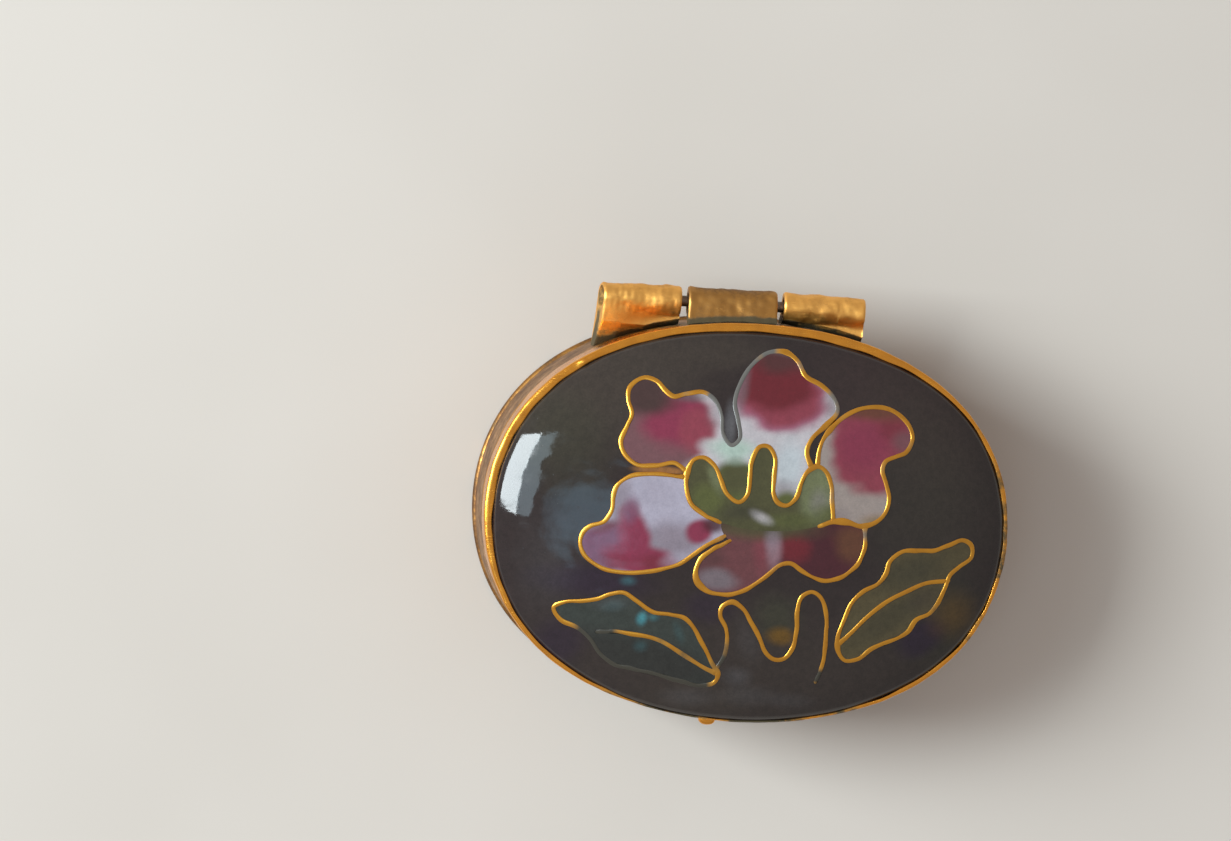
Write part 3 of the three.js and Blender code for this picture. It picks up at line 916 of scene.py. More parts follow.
@dataclass(frozen=True)
class BaseTray:
    """The lower half: floor plate, wall and the collar that the lid slips over."""

    sizes: BoxSizes
    wall: float = 0.45
    wall_easing: tuple[float, ...] = (0.03, 0.03, 0.16, 0.1)
    collar_wall: float = 0.35
    collar_easing: tuple[float, ...] = (0.05, 0.05, 0.15, 0.1)
    turns: int = 288

    def build(self, bench: Bench) -> None:
        """Lays the three pieces.

        Args:
            bench: The bench that lays them.
        """
        bench.lay("tray_floor", self.floor(), Body.BASE, AGED_BRASS, "base_floor")
        bench.lay("tray_wall", self.side_wall(), Body.BASE, AGED_BRASS, "base_wall")
        bench.lay("tray_collar", self.collar(), Body.BASE, SATIN_BRASS, "base_collar")

    def floor(self) -> Skin:
        """The floor plate, its lip rounded as half a circle.

        Returns:
            The closed skin.
        """
        low, high = span("base_floor")
        lip = self.sizes.oval.half_length - high[0]
        thick = high[2] - low[2]
        ease = thick / 2
        turn = np.linspace(-np.pi / 2, np.pi / 2, 9)
        edge = [(lip + ease - ease * math.cos(a), 1.0, thick / 2 + ease * math.sin(a)) for a in turn]
        under = [(lip + ease, share, low[2]) for share in np.linspace(0, 0.985, 14)]
        over = [(lip + ease, share, high[2]) for share in np.linspace(0.985, 0, 14)]
        return oval_plate(self.sizes.oval, [*under, *edge, *over], self.turns)

    def side_wall(self) -> Skin:
        """The strip that stands on the floor, its free edge eased.

        Returns:
            The closed skin.
        """
        low, high = span("base_wall")
        corners = [(self.wall, low[2]), (0, low[2]), (0, high[2]), (self.wall, high[2])]
        strip = Strip(self.sizes.oval, self.turns)
        return strip.skin(corners, self.wall_easing, seed=11, side_steps=10)

    def collar(self) -> Skin:
        """The inner strip: its upper edge is filed to lead the lid on.

        Returns:
            The closed skin.
        """
        low, high = span("base_collar")
        outer = self.sizes.oval.half_length - high[0]
        inner = outer + self.collar_wall
        corners = [(inner, low[2]), (outer, low[2]), (outer, high[2]), (inner, high[2])]
        strip = Strip(self.sizes.oval, self.turns, dent=0.01)
        return strip.skin(corners, self.collar_easing, seed=12, side_steps=8)


@dataclass(frozen=True)
class LidShell:
    """The lid's brass: the band with its folded-in bezel, the bearer inside it, and the thumb nib."""

    sizes: BoxSizes
    bezel_drop: float = 0.2
    fold_depth: float = 0.7
    bearer_gap: float = 0.03
    bearer_wall: float = 0.8
    bearer_easing: float = 0.08
    band_easing: tuple[float, ...] = (0.05, 0.1, 0.26, 0.13, 0.02, 0.02)
    highest_burr: float = 0.12
    glass_rise: float = 0.05
    nib_softness: float = 0.45
    nib_seat: float = 0.12
    turns: int = 384

    def build(self, bench: Bench) -> None:
        """Lays the three pieces.

        Args:
            bench: The bench that lays them.
        """
        bench.lay("lid_rim_band", self.band(), Body.LID, RIM_BRASS, "lid_band")
        bench.lay("lid_bearer_strip", self.bearer(), Body.LID, SATIN_BRASS, "lid_bearer")
        bench.lay("lid_thumb_nib", self.nib(), Body.LID, RIM_BRASS, "thumb_nib")

    def band(self) -> Skin:
        """The strip and its bezel: up the outside, over a rounded edge, and in over the plate.

        Over the fold, a point's inset is scaled by the bezel's width at its angle over the full width.

        Returns:
            The closed skin with its rub_and_highlight and patina_and_shade marks.
        """
        bottom, rim = self.sizes.band_bottom, self.sizes.rim
        inner = self.sizes.oval.half_length - span("lid_bearer")[1][0] - self.bearer_gap
        fold = rim - self.fold_depth
        corners = [(inner, bottom), (0, bottom), (0, rim), (BEZEL, rim), (BEZEL, fold), (inner, fold)]
        loop, edges = rounded_loop(corners, self.band_easing, arc_steps=7, side_steps=6)
        turn = np.linspace(0, 2 * np.pi, self.turns, endpoint=False)[:, None]
        inset, z = loop[:, 0][None, :], loop[:, 1][None, :]
        over_fold = smooth(z, fold - 0.06, fold - 0.01)
        tip = smooth(inset, 0.1, BEZEL) * over_fold
        inset = inset * (1 - over_fold * (1 - bezel_width(turn) / BEZEL))
        arc = turn * (self.sizes.oval.half_length + self.sizes.oval.half_width) / 2
        along, up = arc + 0 * z, z + 0 * arc
        dents = 0.03 * ripple(along, up, 7.0, 21) + 0.014 * ripple(along, up, 1.6, 22)
        hollow = 0.035 * ripple(along, inset * 3, 1.9, 23) * tip
        x, y = self.sizes.oval.outline(turn, inset + dents * np.exp(-inset / 0.2) + hollow)
        near_top = smooth(z, rim - 0.3, rim)
        waves = 0.03 * ripple(along, inset, 4.0, 24) + 0.012 * ripple(along, inset, 1.1, 27) - 0.035
        height = z + (waves + burr_height(x, y)) * near_top
        points = np.stack([x, y, np.minimum(height, rim + self.highest_burr)], -1)
        worn = 0.5 + 0.5 * ripple(along, up, 3.5, 25)
        rub_and_highlight = edges[None, :] * (0.4 + 0.5 * worn) + 0.75 * smooth(z, rim - 0.25, rim - 0.05)
        # The top of the band is darker along the front and the right.
        front_right = smooth(-y, 9.5, 12.3) + 0.7 * smooth(x, 12.0, 15.5)
        front_right_darkening = 0.75 * front_right * smooth(z, rim - 0.6, rim) * (0.4 + worn)
        patina_and_shade = patina_and_painted_shade(self.sizes.oval, points) + front_right_darkening
        marks = {"rub_and_highlight": np.clip(rub_and_highlight, 0, 1).ravel(), "patina_and_shade": np.clip(patina_and_shade, 0, 1).ravel()}
        return Skin(points.reshape(-1, 3), weave(self.turns, len(loop), True, True), marks=marks).turned_out()

    def bearer(self) -> Skin:
        """The ledge strip that the plate rests on.

        Returns:
            The closed skin.
        """
        low, high = span("lid_bearer")
        outer = self.sizes.oval.half_length - high[0]
        inner = outer + self.bearer_wall
        corners = [(inner, low[2]), (outer, low[2]), (outer, high[2]), (inner, high[2])]
        strip = Strip(self.sizes.oval, dent=0.0)
        return strip.skin(corners, self.bearer_easing, seed=26, side_steps=4)

    def nib(self) -> Skin:
        """The thumb nib: a superellipsoid with a squared top, its back pressed flat into the band.

        Width, reach and height are each a power of a sine or cosine of two angles.

        Returns:
            The closed skin with its rub_and_highlight and patina_and_shade marks.
        """
        low, high = span("thumb_nib")
        middle, half = (low + high) / 2, (high - low) / 2
        u = np.linspace(0, 2 * np.pi, 48, endpoint=False)[None, :]
        v = np.linspace(-np.pi / 2, np.pi / 2, 25)[1:-1][:, None]
        soft = self.nib_softness
        around = np.cos(v) ** soft
        x = middle[0] + half[0] * around * np.sign(np.cos(u)) * np.abs(np.cos(u)) ** 0.8
        out = np.where(np.sin(u) < 0, -(high[1] - low[1]), self.nib_seat) * np.abs(np.sin(u)) ** 0.8
        y = high[1] + out * around
        z = middle[2] + half[2] * np.sign(np.sin(v)) * np.abs(np.sin(v)) ** soft + 0 * x
        sections = np.stack([x, y, z], -1)
        marks = {"rub_and_highlight": np.full(x.shape, 0.9), "patina_and_shade": np.zeros(x.shape)}
        return capped_tube(sections, marks)


# Two burrs on the rim's left shoulder: x, y and height.
BURRS = ((-10.9, 9.45, 0.16), (-10.4, 9.75, 0.1))
BURR_SPREAD = 0.06  # the bell curve's width, squared


def burr_height(x: np.ndarray, y: np.ndarray) -> np.ndarray:
    """Small lumps of solder on the rim, each a bell curve.

    Args:
        x: First coordinate of each place.
        y: Second coordinate of each place.

    Returns:
        Their height at each place.
    """
    total = 0 * x
    for burr_x, burr_y, tall in BURRS:
        total = total + tall * np.exp(-((x - burr_x) ** 2 + (y - burr_y) ** 2) / BURR_SPREAD)
    return total


# ---- hinge


@dataclass(frozen=True)
class Knuckle:
    """A rolled hinge knuckle: a tube along X whose tail runs to the wall that it is soldered to.

    Across X the outline leaves the wall, climbs in a hollow curve onto the tube, goes round it, and runs back
    to the wall as the tail. The tube's radius runs evenly from one end to the other.
    """

    node: str
    body: Body
    start_radius: float
    end_radius: float
    up: bool
    start_mouth: float
    end_mouth: float
    seed: int
    start_slant: float = 0.0
    bore: float = 0.42
    stations: int = 64
    ease: float = 0.12
    hammering: float = 0.05
    solder_gap: float = 0.02
    fillet: float = 0.75
    tail_turn: float = -84

    def outline(self, x: np.ndarray, radius: np.ndarray, sizes: BoxSizes) -> np.ndarray:
        """The outline at each station, as distances from the pin's axis, for a tail that hangs down.

        Args:
            x: The stations along the hinge.
            radius: The tube's radius at each station.
            sizes: The box's driving sizes.

        Returns:
            Points by station, by place round the outline, as outward and upward distances. The outline
            is turned upside down for a tail that rises.
        """
        low, high = span(self.node)
        reach = high[2] - sizes.hinge_z if self.up else sizes.hinge_z - low[2]
        wall = sizes.oval.side_y(x) + self.solder_gap - sizes.hinge_y
        root_y = np.minimum(wall + 0.35, -radius - self.solder_gap)
        root_y = np.maximum(root_y, -radius - self.fillet)
        spread = smooth(-wall - radius, 0.3, 2.0)
        root = np.stack([root_y, 0.5 * spread - 0.05], -1)[:, None]
        foot = np.stack([wall, np.full(len(x), -reach)], -1)[:, None]
        heel = np.stack([wall, -0.3 - 0.35 * np.maximum(-wall - radius, 0)], -1)[:, None]
        landing = np.pi - 1.35 * spread
        arc = np.linspace(landing, np.radians(self.tail_turn), 40, axis=1)
        tube = radius[:, None, None] * np.stack([np.cos(arc), np.sin(arc)], -1)
        leave = np.stack([-np.sin(landing), np.cos(landing)], -1)[:, None]
        pull = 0.55 * np.linalg.norm(tube[:, :1] - root, axis=-1, keepdims=True)
        s = np.linspace(0, 1, 12)[:-1, None]
        climb = (1 - s) ** 2 * root + 2 * s * (1 - s) * (tube[:, :1] + pull * leave) + s**2 * tube[:, :1]
        end = tube[:, -1:]
        bend = end * (1, 1.06) - (0.35, 0)
        t = np.linspace(0, 1, 14)[1:, None]
        tail = (1 - t) ** 2 * end + 2 * t * (1 - t) * bend + t**2 * foot
        w = np.linspace(0, 1, 6)[1:, None]
        back = foot * (1 - w) + heel * w
        outline = np.concatenate([climb, tube, tail, back], 1)
        return outline * (1, -1) if self.up else outline

    def skin(self, sizes: BoxSizes) -> Skin:
        """The closed surface: along the outline and back through the bore, with eased and opened ends.

        Args:
            sizes: The box's driving sizes.

        Returns:
            The closed skin with its rub_and_highlight and patina_and_shade marks.
        """
        low, high = span(self.node)
        start, end = low[0], high[0]
        lead = self.ease * np.array([0.0, 0.25, 0.6])
        body = np.linspace(start + self.ease, end - self.ease, self.stations)
        x = np.concatenate([start + lead, body, end - lead[::-1]])
        from_end = np.minimum(x - start, end - x)
        share = (x - start) / (end - start)
        radius = self.start_radius * (1 - share) + self.end_radius * share
        outer = self.outline(x, radius * (0.9 + 0.1 * smooth(from_end, -0.04, self.ease)), sizes)
        angle = np.unwrap(np.arctan2(outer[..., 1], outer[..., 0]), axis=1)
        along = x[:, None] + 0 * angle
        girth = angle * 0.9
        hammered = ripple(along, girth, 1.7, self.seed) + 0.4 * ripple(along, girth, 0.6, self.seed + 9)
        outer = outer * (1 + self.hammering * hammered * smooth(outer[..., 0], -1.6, -0.5))[..., None]
        back = np.linspace(1, 0, 12)
        bore_angle = angle[-1] * back[:, None] + angle[0] * (1 - back[:, None])
        mouth = self.bore + (self.end_mouth - self.bore) * smooth(back, 0.8, 1.0)
        mouth = mouth + (self.start_mouth - self.bore) * smooth(1 - back, 0.8, 1.0)
        inner = mouth[:, None, None] * np.stack([np.cos(bore_angle), np.sin(bore_angle)], -1)
        section = np.concatenate([outer, inner])
        place = np.concatenate([x, end * back + start * (1 - back)])[:, None] + 0 * section[..., 0]
        slanted = 1 - smooth(place, start, start + 2.2)
        place = place + self.start_slant * slanted * (section[..., 1] + self.start_radius)
        points = np.stack([place, sizes.hinge_y + section[..., 0], sizes.hinge_z + section[..., 1]], -1)
        # Darker and greener close to the wall and inside the bore: grime and painted shade where the knuckle
        # meets the wall.
        from_wall = points[..., 1] - sizes.oval.side_y(place)
        grime_and_shade = 1 - smooth(from_wall, 0.15, 0.6)
        bored = np.concatenate([np.zeros(len(x)), np.ones(len(back))])[:, None]
        # Brighter near each end: wear, and a painted highlight on the lit end faces.
        ends = 1 - smooth(np.minimum(place - start, end - place), 0.05, 0.5)
        top = smooth(section[..., 1], 0.2, 0.9)
        rub_and_highlight = np.clip(0.75 * ends + 0.45 * top - 0.6 * bored - 0.5 * grime_and_shade, 0, 1)
        marks = {"rub_and_highlight": rub_and_highlight.ravel(), "patina_and_shade": np.clip(grime_and_shade + 0.6 * bored, 0, 1).ravel()}
        return Skin(points.reshape(-1, 3), weave(*place.shape, True, True), marks=marks).turned_out()


@dataclass(frozen=True)
class Hinge:
    """Three rolled knuckles and the wire pin through them."""

    sizes: BoxSizes
    nipped: float = 0.16

    def knuckles(self) -> list[tuple[Knuckle, BrassFinish]]:
        """Names the three knuckles from left to right.

        Returns:
            Each knuckle with its finish.
        """
        left = Knuckle("hinge_knuckle_left", Body.BASE, 0.86, 0.93, False, 0.66, 0.5, 31, start_slant=0.16)
        middle = Knuckle("hinge_knuckle_centre", Body.LID, 0.93, 0.93, True, 0.5, 0.5, seed=32)
        right = Knuckle("hinge_knuckle_right", Body.BASE, 0.93, 0.86, False, 0.5, 0.6, seed=33)
        return [(left, HINGE_BRASS), (middle, SHADED_HINGE_BRASS), (right, HINGE_BRASS)]

    def build(self, bench: Bench) -> None:
        """Lays the knuckles and the pin."""
        for knuckle, finish in self.knuckles():
            skin = knuckle.skin(self.sizes)
            bench.lay("rolled_" + knuckle.node, skin, knuckle.body, finish, knuckle.node)
        bench.lay("hinge_pin_wire", self.pin(), Body.BASE, PIN_STEEL, "hinge_pin")

    def pin(self) -> Skin:
        """The pin: a round wire whose nipped ends are domed, as a radius that follows x.

        Returns:
            The closed skin.
        """
        low, high = span("hinge_pin")
        radius = (high[2] - low[2]) / 2
        s = np.linspace(0, 1, 46)
        x = (low[0] + high[0]) / 2 + (high[0] - low[0]) / 2 * np.sin(np.pi * (s - 0.5))
        from_end = np.minimum(x - low[0], high[0] - x)
        profile = radius * np.sqrt(np.clip(1 - (1 - np.clip(from_end / self.nipped, 0, 1)) ** 2, 0.02, 1))
        turn = np.linspace(0, 2 * np.pi, 28, endpoint=False)[None, :]
        y = self.sizes.hinge_y + profile[:, None] * np.cos(turn)
        z = self.sizes.hinge_z + profile[:, None] * np.sin(turn)
        sections = np.stack([x[:, None] + 0 * y, y, z], -1)
        marks = {"rub_and_highlight": np.zeros(y.shape), "patina_and_shade": np.full(y.shape, 0.2)}
        return capped_tube(sections, marks)


# ---- the drawing in wire


@dataclass(frozen=True)
class WireRun:
    """One wire as it was bent: the places that it passes, on a lid of the drawing's size."""

    places: tuple[tuple[float, float], ...]
    closed: bool = False

    def line(self, spacing: float) -> np.ndarray:
        """The smooth line through the places, at even steps.

        It is the centripetal Catmull-Rom curve: between two places, a cubic whose slopes come from the
        places before and after, weighed by the square roots of the distances.

        Args:
            spacing: The step, in millimetres.

        Returns:
            Points in the plane, without the repeated last point where the wire closes on itself.
        """
        knots = np.array(self.places, float)
        if self.closed:
            padded = np.concatenate([knots[-1:], knots, knots[:2]])
        else:
            padded = np.concatenate([2 * knots[:1] - knots[1:2], knots, 2 * knots[-1:] - knots[-2:-1]])
        before, start, end, after = (padded[k : len(padded) - 3 + k] for k in range(4))
        steps = (start - before, end - start, after - end)
        gaps = [np.sqrt(np.linalg.norm(step, axis=1, keepdims=True)) for step in steps]
        leave = (start - before) / gaps[0] - (end - before) / (gaps[0] + gaps[1]) + (end - start) / gaps[1]
        arrive = (end - start) / gaps[1] - (after - start) / (gaps[1] + gaps[2]) + (after - end) / gaps[2]
        leave, arrive = (leave * gaps[1])[:, None], (arrive * gaps[1])[:, None]
        s = np.linspace(0, 1, 12, endpoint=False)[None, :, None]
        first, last = start[:, None], end[:, None]
        curve = (
            first * (2 * s**3 - 3 * s**2 + 1)
            + leave * (s**3 - 2 * s**2 + s)
            + last * (3 * s**2 - 2 * s**3)
            + arrive * (s**3 - s**2)
        ).reshape(-1, 2)
        curve = np.concatenate([curve, knots[:1] if self.closed else knots[-1:]])
        travelled = np.concatenate([[0], np.cumsum(np.linalg.norm(np.diff(curve, axis=0), axis=1))])
        count = max(8, round(travelled[-1] / spacing))
        steps = np.linspace(0, travelled[-1], count + 1)
        even = np.stack([np.interp(steps, travelled, curve[:, k]) for k in range(2)], -1)
        return even[:-1] if self.closed else even


WIRES = {
    "wire_centre": WireRun((
        (-2.1, 0.15), (-3, 0.5), (-3.9, 1.15), (-4.3, 2.2), (-4.3, 3.1), (-3.95, 3.9), (-3.3, 4.1),
        (-2.7, 3.7), (-2.2, 2.8), (-1.75, 1.9), (-1, 1.48), (-0.5, 1.95), (-0.4, 3), (-0.33, 4.1),
        (0.1, 4.95), (0.65, 5), (1.08, 4.4), (1.13, 3.2), (1.12, 2.2), (1.45, 1.6), (2, 1.42),
        (2.5, 1.85), (2.85, 2.9), (3.2, 3.65), (3.8, 3.97), (4.4, 3.6), (4.73, 2.8), (4.85, 1.8),
        (4.98, 0.6),
    )),
    "wire_right_petal": WireRun((
        (3.8, 3.97), (3.85, 4.9), (4.1, 5.75), (4.75, 6.6), (5.6, 7.3), (6.6, 7.72), (7.7, 7.83),
        (8.7, 7.5), (9.45, 6.85), (9.77, 6), (9.4, 5.15), (8.75, 4.85), (8.1, 4.5), (7.93, 3.9),
        (8.2, 3.1), (8.45, 2.2), (8.25, 1.3), (7.7, 0.7), (6.8, 0.42), (5.9, 0.62), (4.98, 0.6),
        (4.15, 0.28),
    )),
    "wire_upper_petals": WireRun((
        (-4.3, 3.15), (-5.1, 3.62), (-6.3, 3.4), (-7.4, 3.4), (-8.2, 3.95), (-8.48, 4.8), (-8.1, 5.8),
        (-7.9, 6.45), (-8.15, 7.3), (-8.1, 8.1), (-7.2, 8.75), (-6.45, 8.6), (-5.9, 8.05),
        (-5.35, 7.7), (-4.6, 7.9), (-3.6, 8.1), (-2.8, 7.65), (-2.35, 6.7), (-2.2, 5.6),
        (-1.65, 4.95), (-1.15, 5.4), (-1.3, 6.5), (-1.55, 7.6), (-1.25, 8.8), (-0.6, 9.9),
        (0.4, 10.75), (1.5, 10.87), (2.3, 10.35), (2.85, 9.45), (3.8, 8.95), (4.65, 8.2),
        (4.9, 7.4), (4.15, 6.5), (3.35, 5.65), (3.08, 4.8), (3.4, 3.85),
    )),
    "wire_lower_left_petal": WireRun((
        (-4.3, 2.82), (-5.6, 2.87), (-7, 2.83), (-7.9, 2.6), (-8.5, 2.1), (-8.75, 1.3),
        (-8.82, 0.4), (-9.2, -0.25), (-10, -0.58), (-10.5, -1.1), (-10.6, -1.75), (-10.2, -2.5),
        (-9.4, -3.05), (-8.3, -3.33), (-7, -3.3), (-5.6, -3.03), (-4.5, -2.62), (-3.6, -1.95),
        (-2.9, -1.38), (-1.75, -0.68),
    )),
    "wire_bottom_petal": WireRun((
        (-1.4, -0.95), (-2.4, -1.55), (-3.05, -2.1), (-3.38, -2.9), (-3.2, -3.65), (-2.5, -4.18),
        (-1.5, -4.33), (-0.5, -4.1), (0.4, -3.55), (1.2, -2.85), (1.9, -2.25), (2.5, -2.13),
        (3.2, -2.55), (4, -2.95), (5, -3.07), (5.9, -2.75), (6.65, -2.05), (7.05, -1.2),
        (7.1, -0.4), (7, 0.45),
    )),
    "wire_leaf_left": WireRun((
        (-11.9, -5.85), (-11.3, -5.47), (-10.3, -5.3), (-9.3, -5.12), (-8.5, -4.75), (-7.7, -4.6),
        (-6.9, -5.05), (-5.8, -5.7), (-4.7, -5.78), (-3.8, -5.95), (-3.1, -6.7), (-2.5, -7.65),
        (-1.9, -8.65), (-1.45, -9.35), (-1.6, -9.95), (-2.3, -10.2), (-3.6, -10.02), (-5.2, -9.65),
        (-6.8, -9.4), (-8, -9.15), (-8.9, -8.5), (-9.5, -7.7), (-10.4, -7), (-11.4, -6.6),
    ), closed=True),
    "wire_leaf_left_vein": WireRun((
        (-9.15, -7.2), (-7.9, -7.1), (-6.5, -7.22), (-5.2, -7.48), (-4.1, -8.05), (-2.9, -8.75),
        (-2.2, -9.08), (-1.45, -9.35),
    )),
    "wire_leaf_right": WireRun((
        (6, -7.6), (5.85, -6.8), (6.1, -5.7), (6.5, -4.5), (7.2, -3.65), (8.1, -3.15),
        (8.55, -2.5), (8.8, -1.7), (9.5, -1.05), (10.5, -0.93), (11.5, -0.9), (12.5, -0.52),
        (13.4, -0.17), (14, -0.45), (14.05, -1.2), (13.3, -1.87), (12.75, -2.4), (12.5, -3.2),
        (12.1, -4.2), (11.6, -4.85), (10.8, -5.3), (10.3, -6.1), (9.3, -6.7), (8.2, -7.2),
        (7.3, -7.93), (6.5, -8.1),
    ), closed=True),
    "wire_leaf_right_vein": WireRun((
        (5.9, -7.1), (6.7, -6.3), (7.6, -5.25), (8.7, -4.3), (10, -3.53), (11.3, -2.93),
        (12.65, -2.75),
    )),
    "wire_stem": WireRun((
        (-1.6, -9.1), (-1.2, -8.3), (-1.05, -7.3), (-1.2, -6.45), (-1.62, -5.75), (-1.55, -5.1),
        (-0.95, -4.75), (-0.3, -5.1), (0.25, -5.85), (0.85, -6.8), (1.35, -7.75), (2, -8.25),
        (2.65, -8.12), (3.1, -7.4), (3.22, -6.3), (3.17, -5.1), (3.4, -4.15), (3.95, -3.85),
        (4.55, -4.15), (4.95, -5), (5.1, -6.3), (5.12, -7.6), (5, -8.8), (4.75, -9.55),
    )),
}

# Where two fields of glass touch with no wire between them: under the centre, and at the low left.
FUSED_SEAMS = (
    WireRun(((-2.1, 0.15), (-0.6, -0.15), (1.2, -0.2), (3, 0), (4.15, 0.28))),
    WireRun(((-2.1, 0.15), (-1.75, -0.68), (-1.4, -0.95))),
)


@dataclass(frozen=True)
class Spot:
    """A soft round place on the lid, with how strong something is in its middle."""

    x: float
    y: float
    reach: float
    strength: float = 1.0

    def at(self, x: np.ndarray, y: np.ndarray) -> np.ndarray:
        """A bell curve round the spot."""
        return self.strength * np.exp(-((x - self.x) ** 2 + (y - self.y) ** 2) / self.reach**2)


# Where glass ran over the wire and left it grey: x, y, reach and strength.
VEILS = tuple(Spot(*row) for row in (
    (-1.7, 5, 0.9, 1.3), (-1.25, 6.2, 1, 1.4), (-2.25, 6.2, 1.1, 1.5), (-1.5, 7.6, 1, 1.4),
    (-1.3, 8.8, 1, 1.2), (-0.7, 9.9, 0.8, 0.9), (0.5, 10.8, 0.7, 0.9), (-2.7, 7.5, 0.8, 1.1),
    (4.9, 7.6, 0.7, 0.7), (4.5, 8.4, 0.5, 0.6), (-4.6, 7.9, 0.5, 0.4), (2.5, 10.1, 0.5, 0.6),
    (-10, -7.3, 0.9, 0.8), (-8.9, -8.5, 1.1, 1.3), (-7.5, -9.25, 1.1, 1.4), (-6, -9.5, 1.1, 1.3),
    (-4.4, -9.85, 1.2, 1.3), (-2.8, -10.15, 1, 1.3), (-8.6, -7.15, 0.9, 0.7), (-5.2, -7.5, 0.6, 0.5),
    (-3.7, -8.3, 0.6, 0.4), (-1.2, -7.6, 0.7, 0.6), (-1.4, -8.6, 0.6, 0.8), (4.9, -9.2, 0.6, 1),
    (11.9, -4.6, 0.5, 0.5), (7.05, -0.1, 0.5, 0.7), (8, 4.1, 0.6, 0.4), (9.6, 5.6, 0.5, 0.4),
    (4.9, 2.2, 0.8, 0.5), (-0.6, -0.2, 0.6, 0.7), (1.6, -2.5, 0.5, 0.4), (-2, -0.7, 0.7, 0.4),
))

# Where solder gathered and the wire is thicker.
GATHERED = tuple(Spot(*row) for row in (
    (5.6, 0.62, 0.55, 0.75), (-3.35, -3.6, 0.5, 0.55), (-3.1, -4, 0.4, 0.5), (-1.5, -9.35, 0.3, 0.5),
    (4.35, 6.3, 0.4, 0.45), (-4.35, 3.1, 0.35, 0.4), (5.95, -7.2, 0.35, 0.4), (3.5, 4, 0.4, 0.35),
    (7, 0.45, 0.3, 0.35), (-1, -4.7, 0.4, 0.3), (10.6, -5.6, 0.4, 0.25), (1.6, 10.85, 0.25, 0.35),
))


@dataclass(frozen=True)
class CloisonWires:
    """The flat wires that stand on edge in the enamel and draw the flower."""

    dome: Dome
    edge: float
    depth: float = 0.5
    width: float = 0.28
    proud: float = 0.055
    overrun: float = 0.13
    spacing: float = 0.09
    wander: float = 1.6
    swell: float = 0.13
    sway: float = 0.02
    veil_sink: float = 0.03
    end_sink: float = 0.05
    finish: WireFinish = WireFinish()

    def build(self, bench: Bench) -> None:
        """Lays each wire."""
        for seed, (node, run) in enumerate(WIRES.items()):
            bench.lay("cloison_" + node, self.skin(run, 60 + seed), Body.LID, self.finish, node)

    def skin(self, run: WireRun, seed: int) -> Skin:
        """Carries the wire's section along its line over the dome.

        The section is a flat strip on edge with a rounded crown: the crown's height is one less the 2.4th
        power of the distance across, to the power of 0.55. The width swells and wanders along the line.

        Args:
            run: The wire.
            seed: Which unevenness.

        Returns:
            The closed skin with its veil and rub marks.
        """
        line = run.line(self.spacing)
        ahead = np.roll(line, -1, 0) - np.roll(line, 1, 0)
        if not run.closed:
            ahead[0], ahead[-1] = line[1] - line[0], line[-1] - line[-2]
        ahead = ahead / np.linalg.norm(ahead, axis=1, keepdims=True)
        side = np.stack([-ahead[:, 1], ahead[:, 0]], -1)
        if not run.closed:
            line[[0, -1]] += self.overrun * ahead[[0, -1]] * ((-1,), (1,))
        travelled = np.arange(len(line)) * self.spacing
        loop = 2 * np.pi * np.arange(len(line)) / len(line)
        drift = np.stack([np.cos(loop), np.sin(loop)]) * travelled[-1] / (2 * np.pi)
        path = drift if run.closed else (travelled, 0 * travelled)
        uneven = ripple(*path, self.wander, seed)
        x, y = line[:, 0], line[:, 1]
        gathered = sum(spot.at(x, y) for spot in GATHERED)
        half = self.width / 2 * (1 + self.swell * uneven + gathered)
        middle = line + side * self.sway * np.roll(uneven, 9)[:, None]
        across = np.array([-1, -1, -1, -0.93, -0.78, -0.5, -0.2, 0.2, 0.5, 0.78, 0.93, 1, 1, 1])
        crown = self.proud * (1 - np.abs(across) ** 2.4) ** 0.55
        up = np.concatenate([[-self.depth, -0.25, -0.02], crown[3:-3], [-0.02, -0.25, -self.depth]])
        plan = middle[:, None] + side[:, None] * (half[:, None] * across)[..., None]
        veil = np.clip(sum(spot.at(x, y) for spot in VEILS), 0, 1)
        pale = smooth(y, -5.0, 1.0)[:, None, None]
        film = pale * np.array(Glass.PALE_FILM.value) + (1 - pale) * np.array(Glass.DARK_FILM.value)
        sink = -self.veil_sink * veil
        if not run.closed:
            from_end = np.minimum(travelled, travelled[-1] - travelled)
            sink = sink - self.end_sink * (1 - smooth(from_end, 0.0, 0.2))
        z = self.edge + self.dome.height(plan[..., 0], plan[..., 1]) + up + sink[:, None]
        sections = np.concatenate([plan, z[..., None]], -1)
        shape = z.shape
        marks = {
            "veil": veil[:, None] + np.zeros(shape),
            "rub_and_highlight": 0.45 + 0.35 * np.abs(across) ** 0.5 * np.ones(shape),
            "film": film + np.zeros((*shape, 3)),
        }
        if not run.closed:
            return capped_tube(sections, marks)
        flat_marks = {name: value.reshape(-1, *value.shape[2:]) for name, value in marks.items()}
        faces = weave(len(line), len(across), True, True)
        return Skin(sections.reshape(-1, 3), faces, marks=flat_marks).turned_out()


# ---- enamel


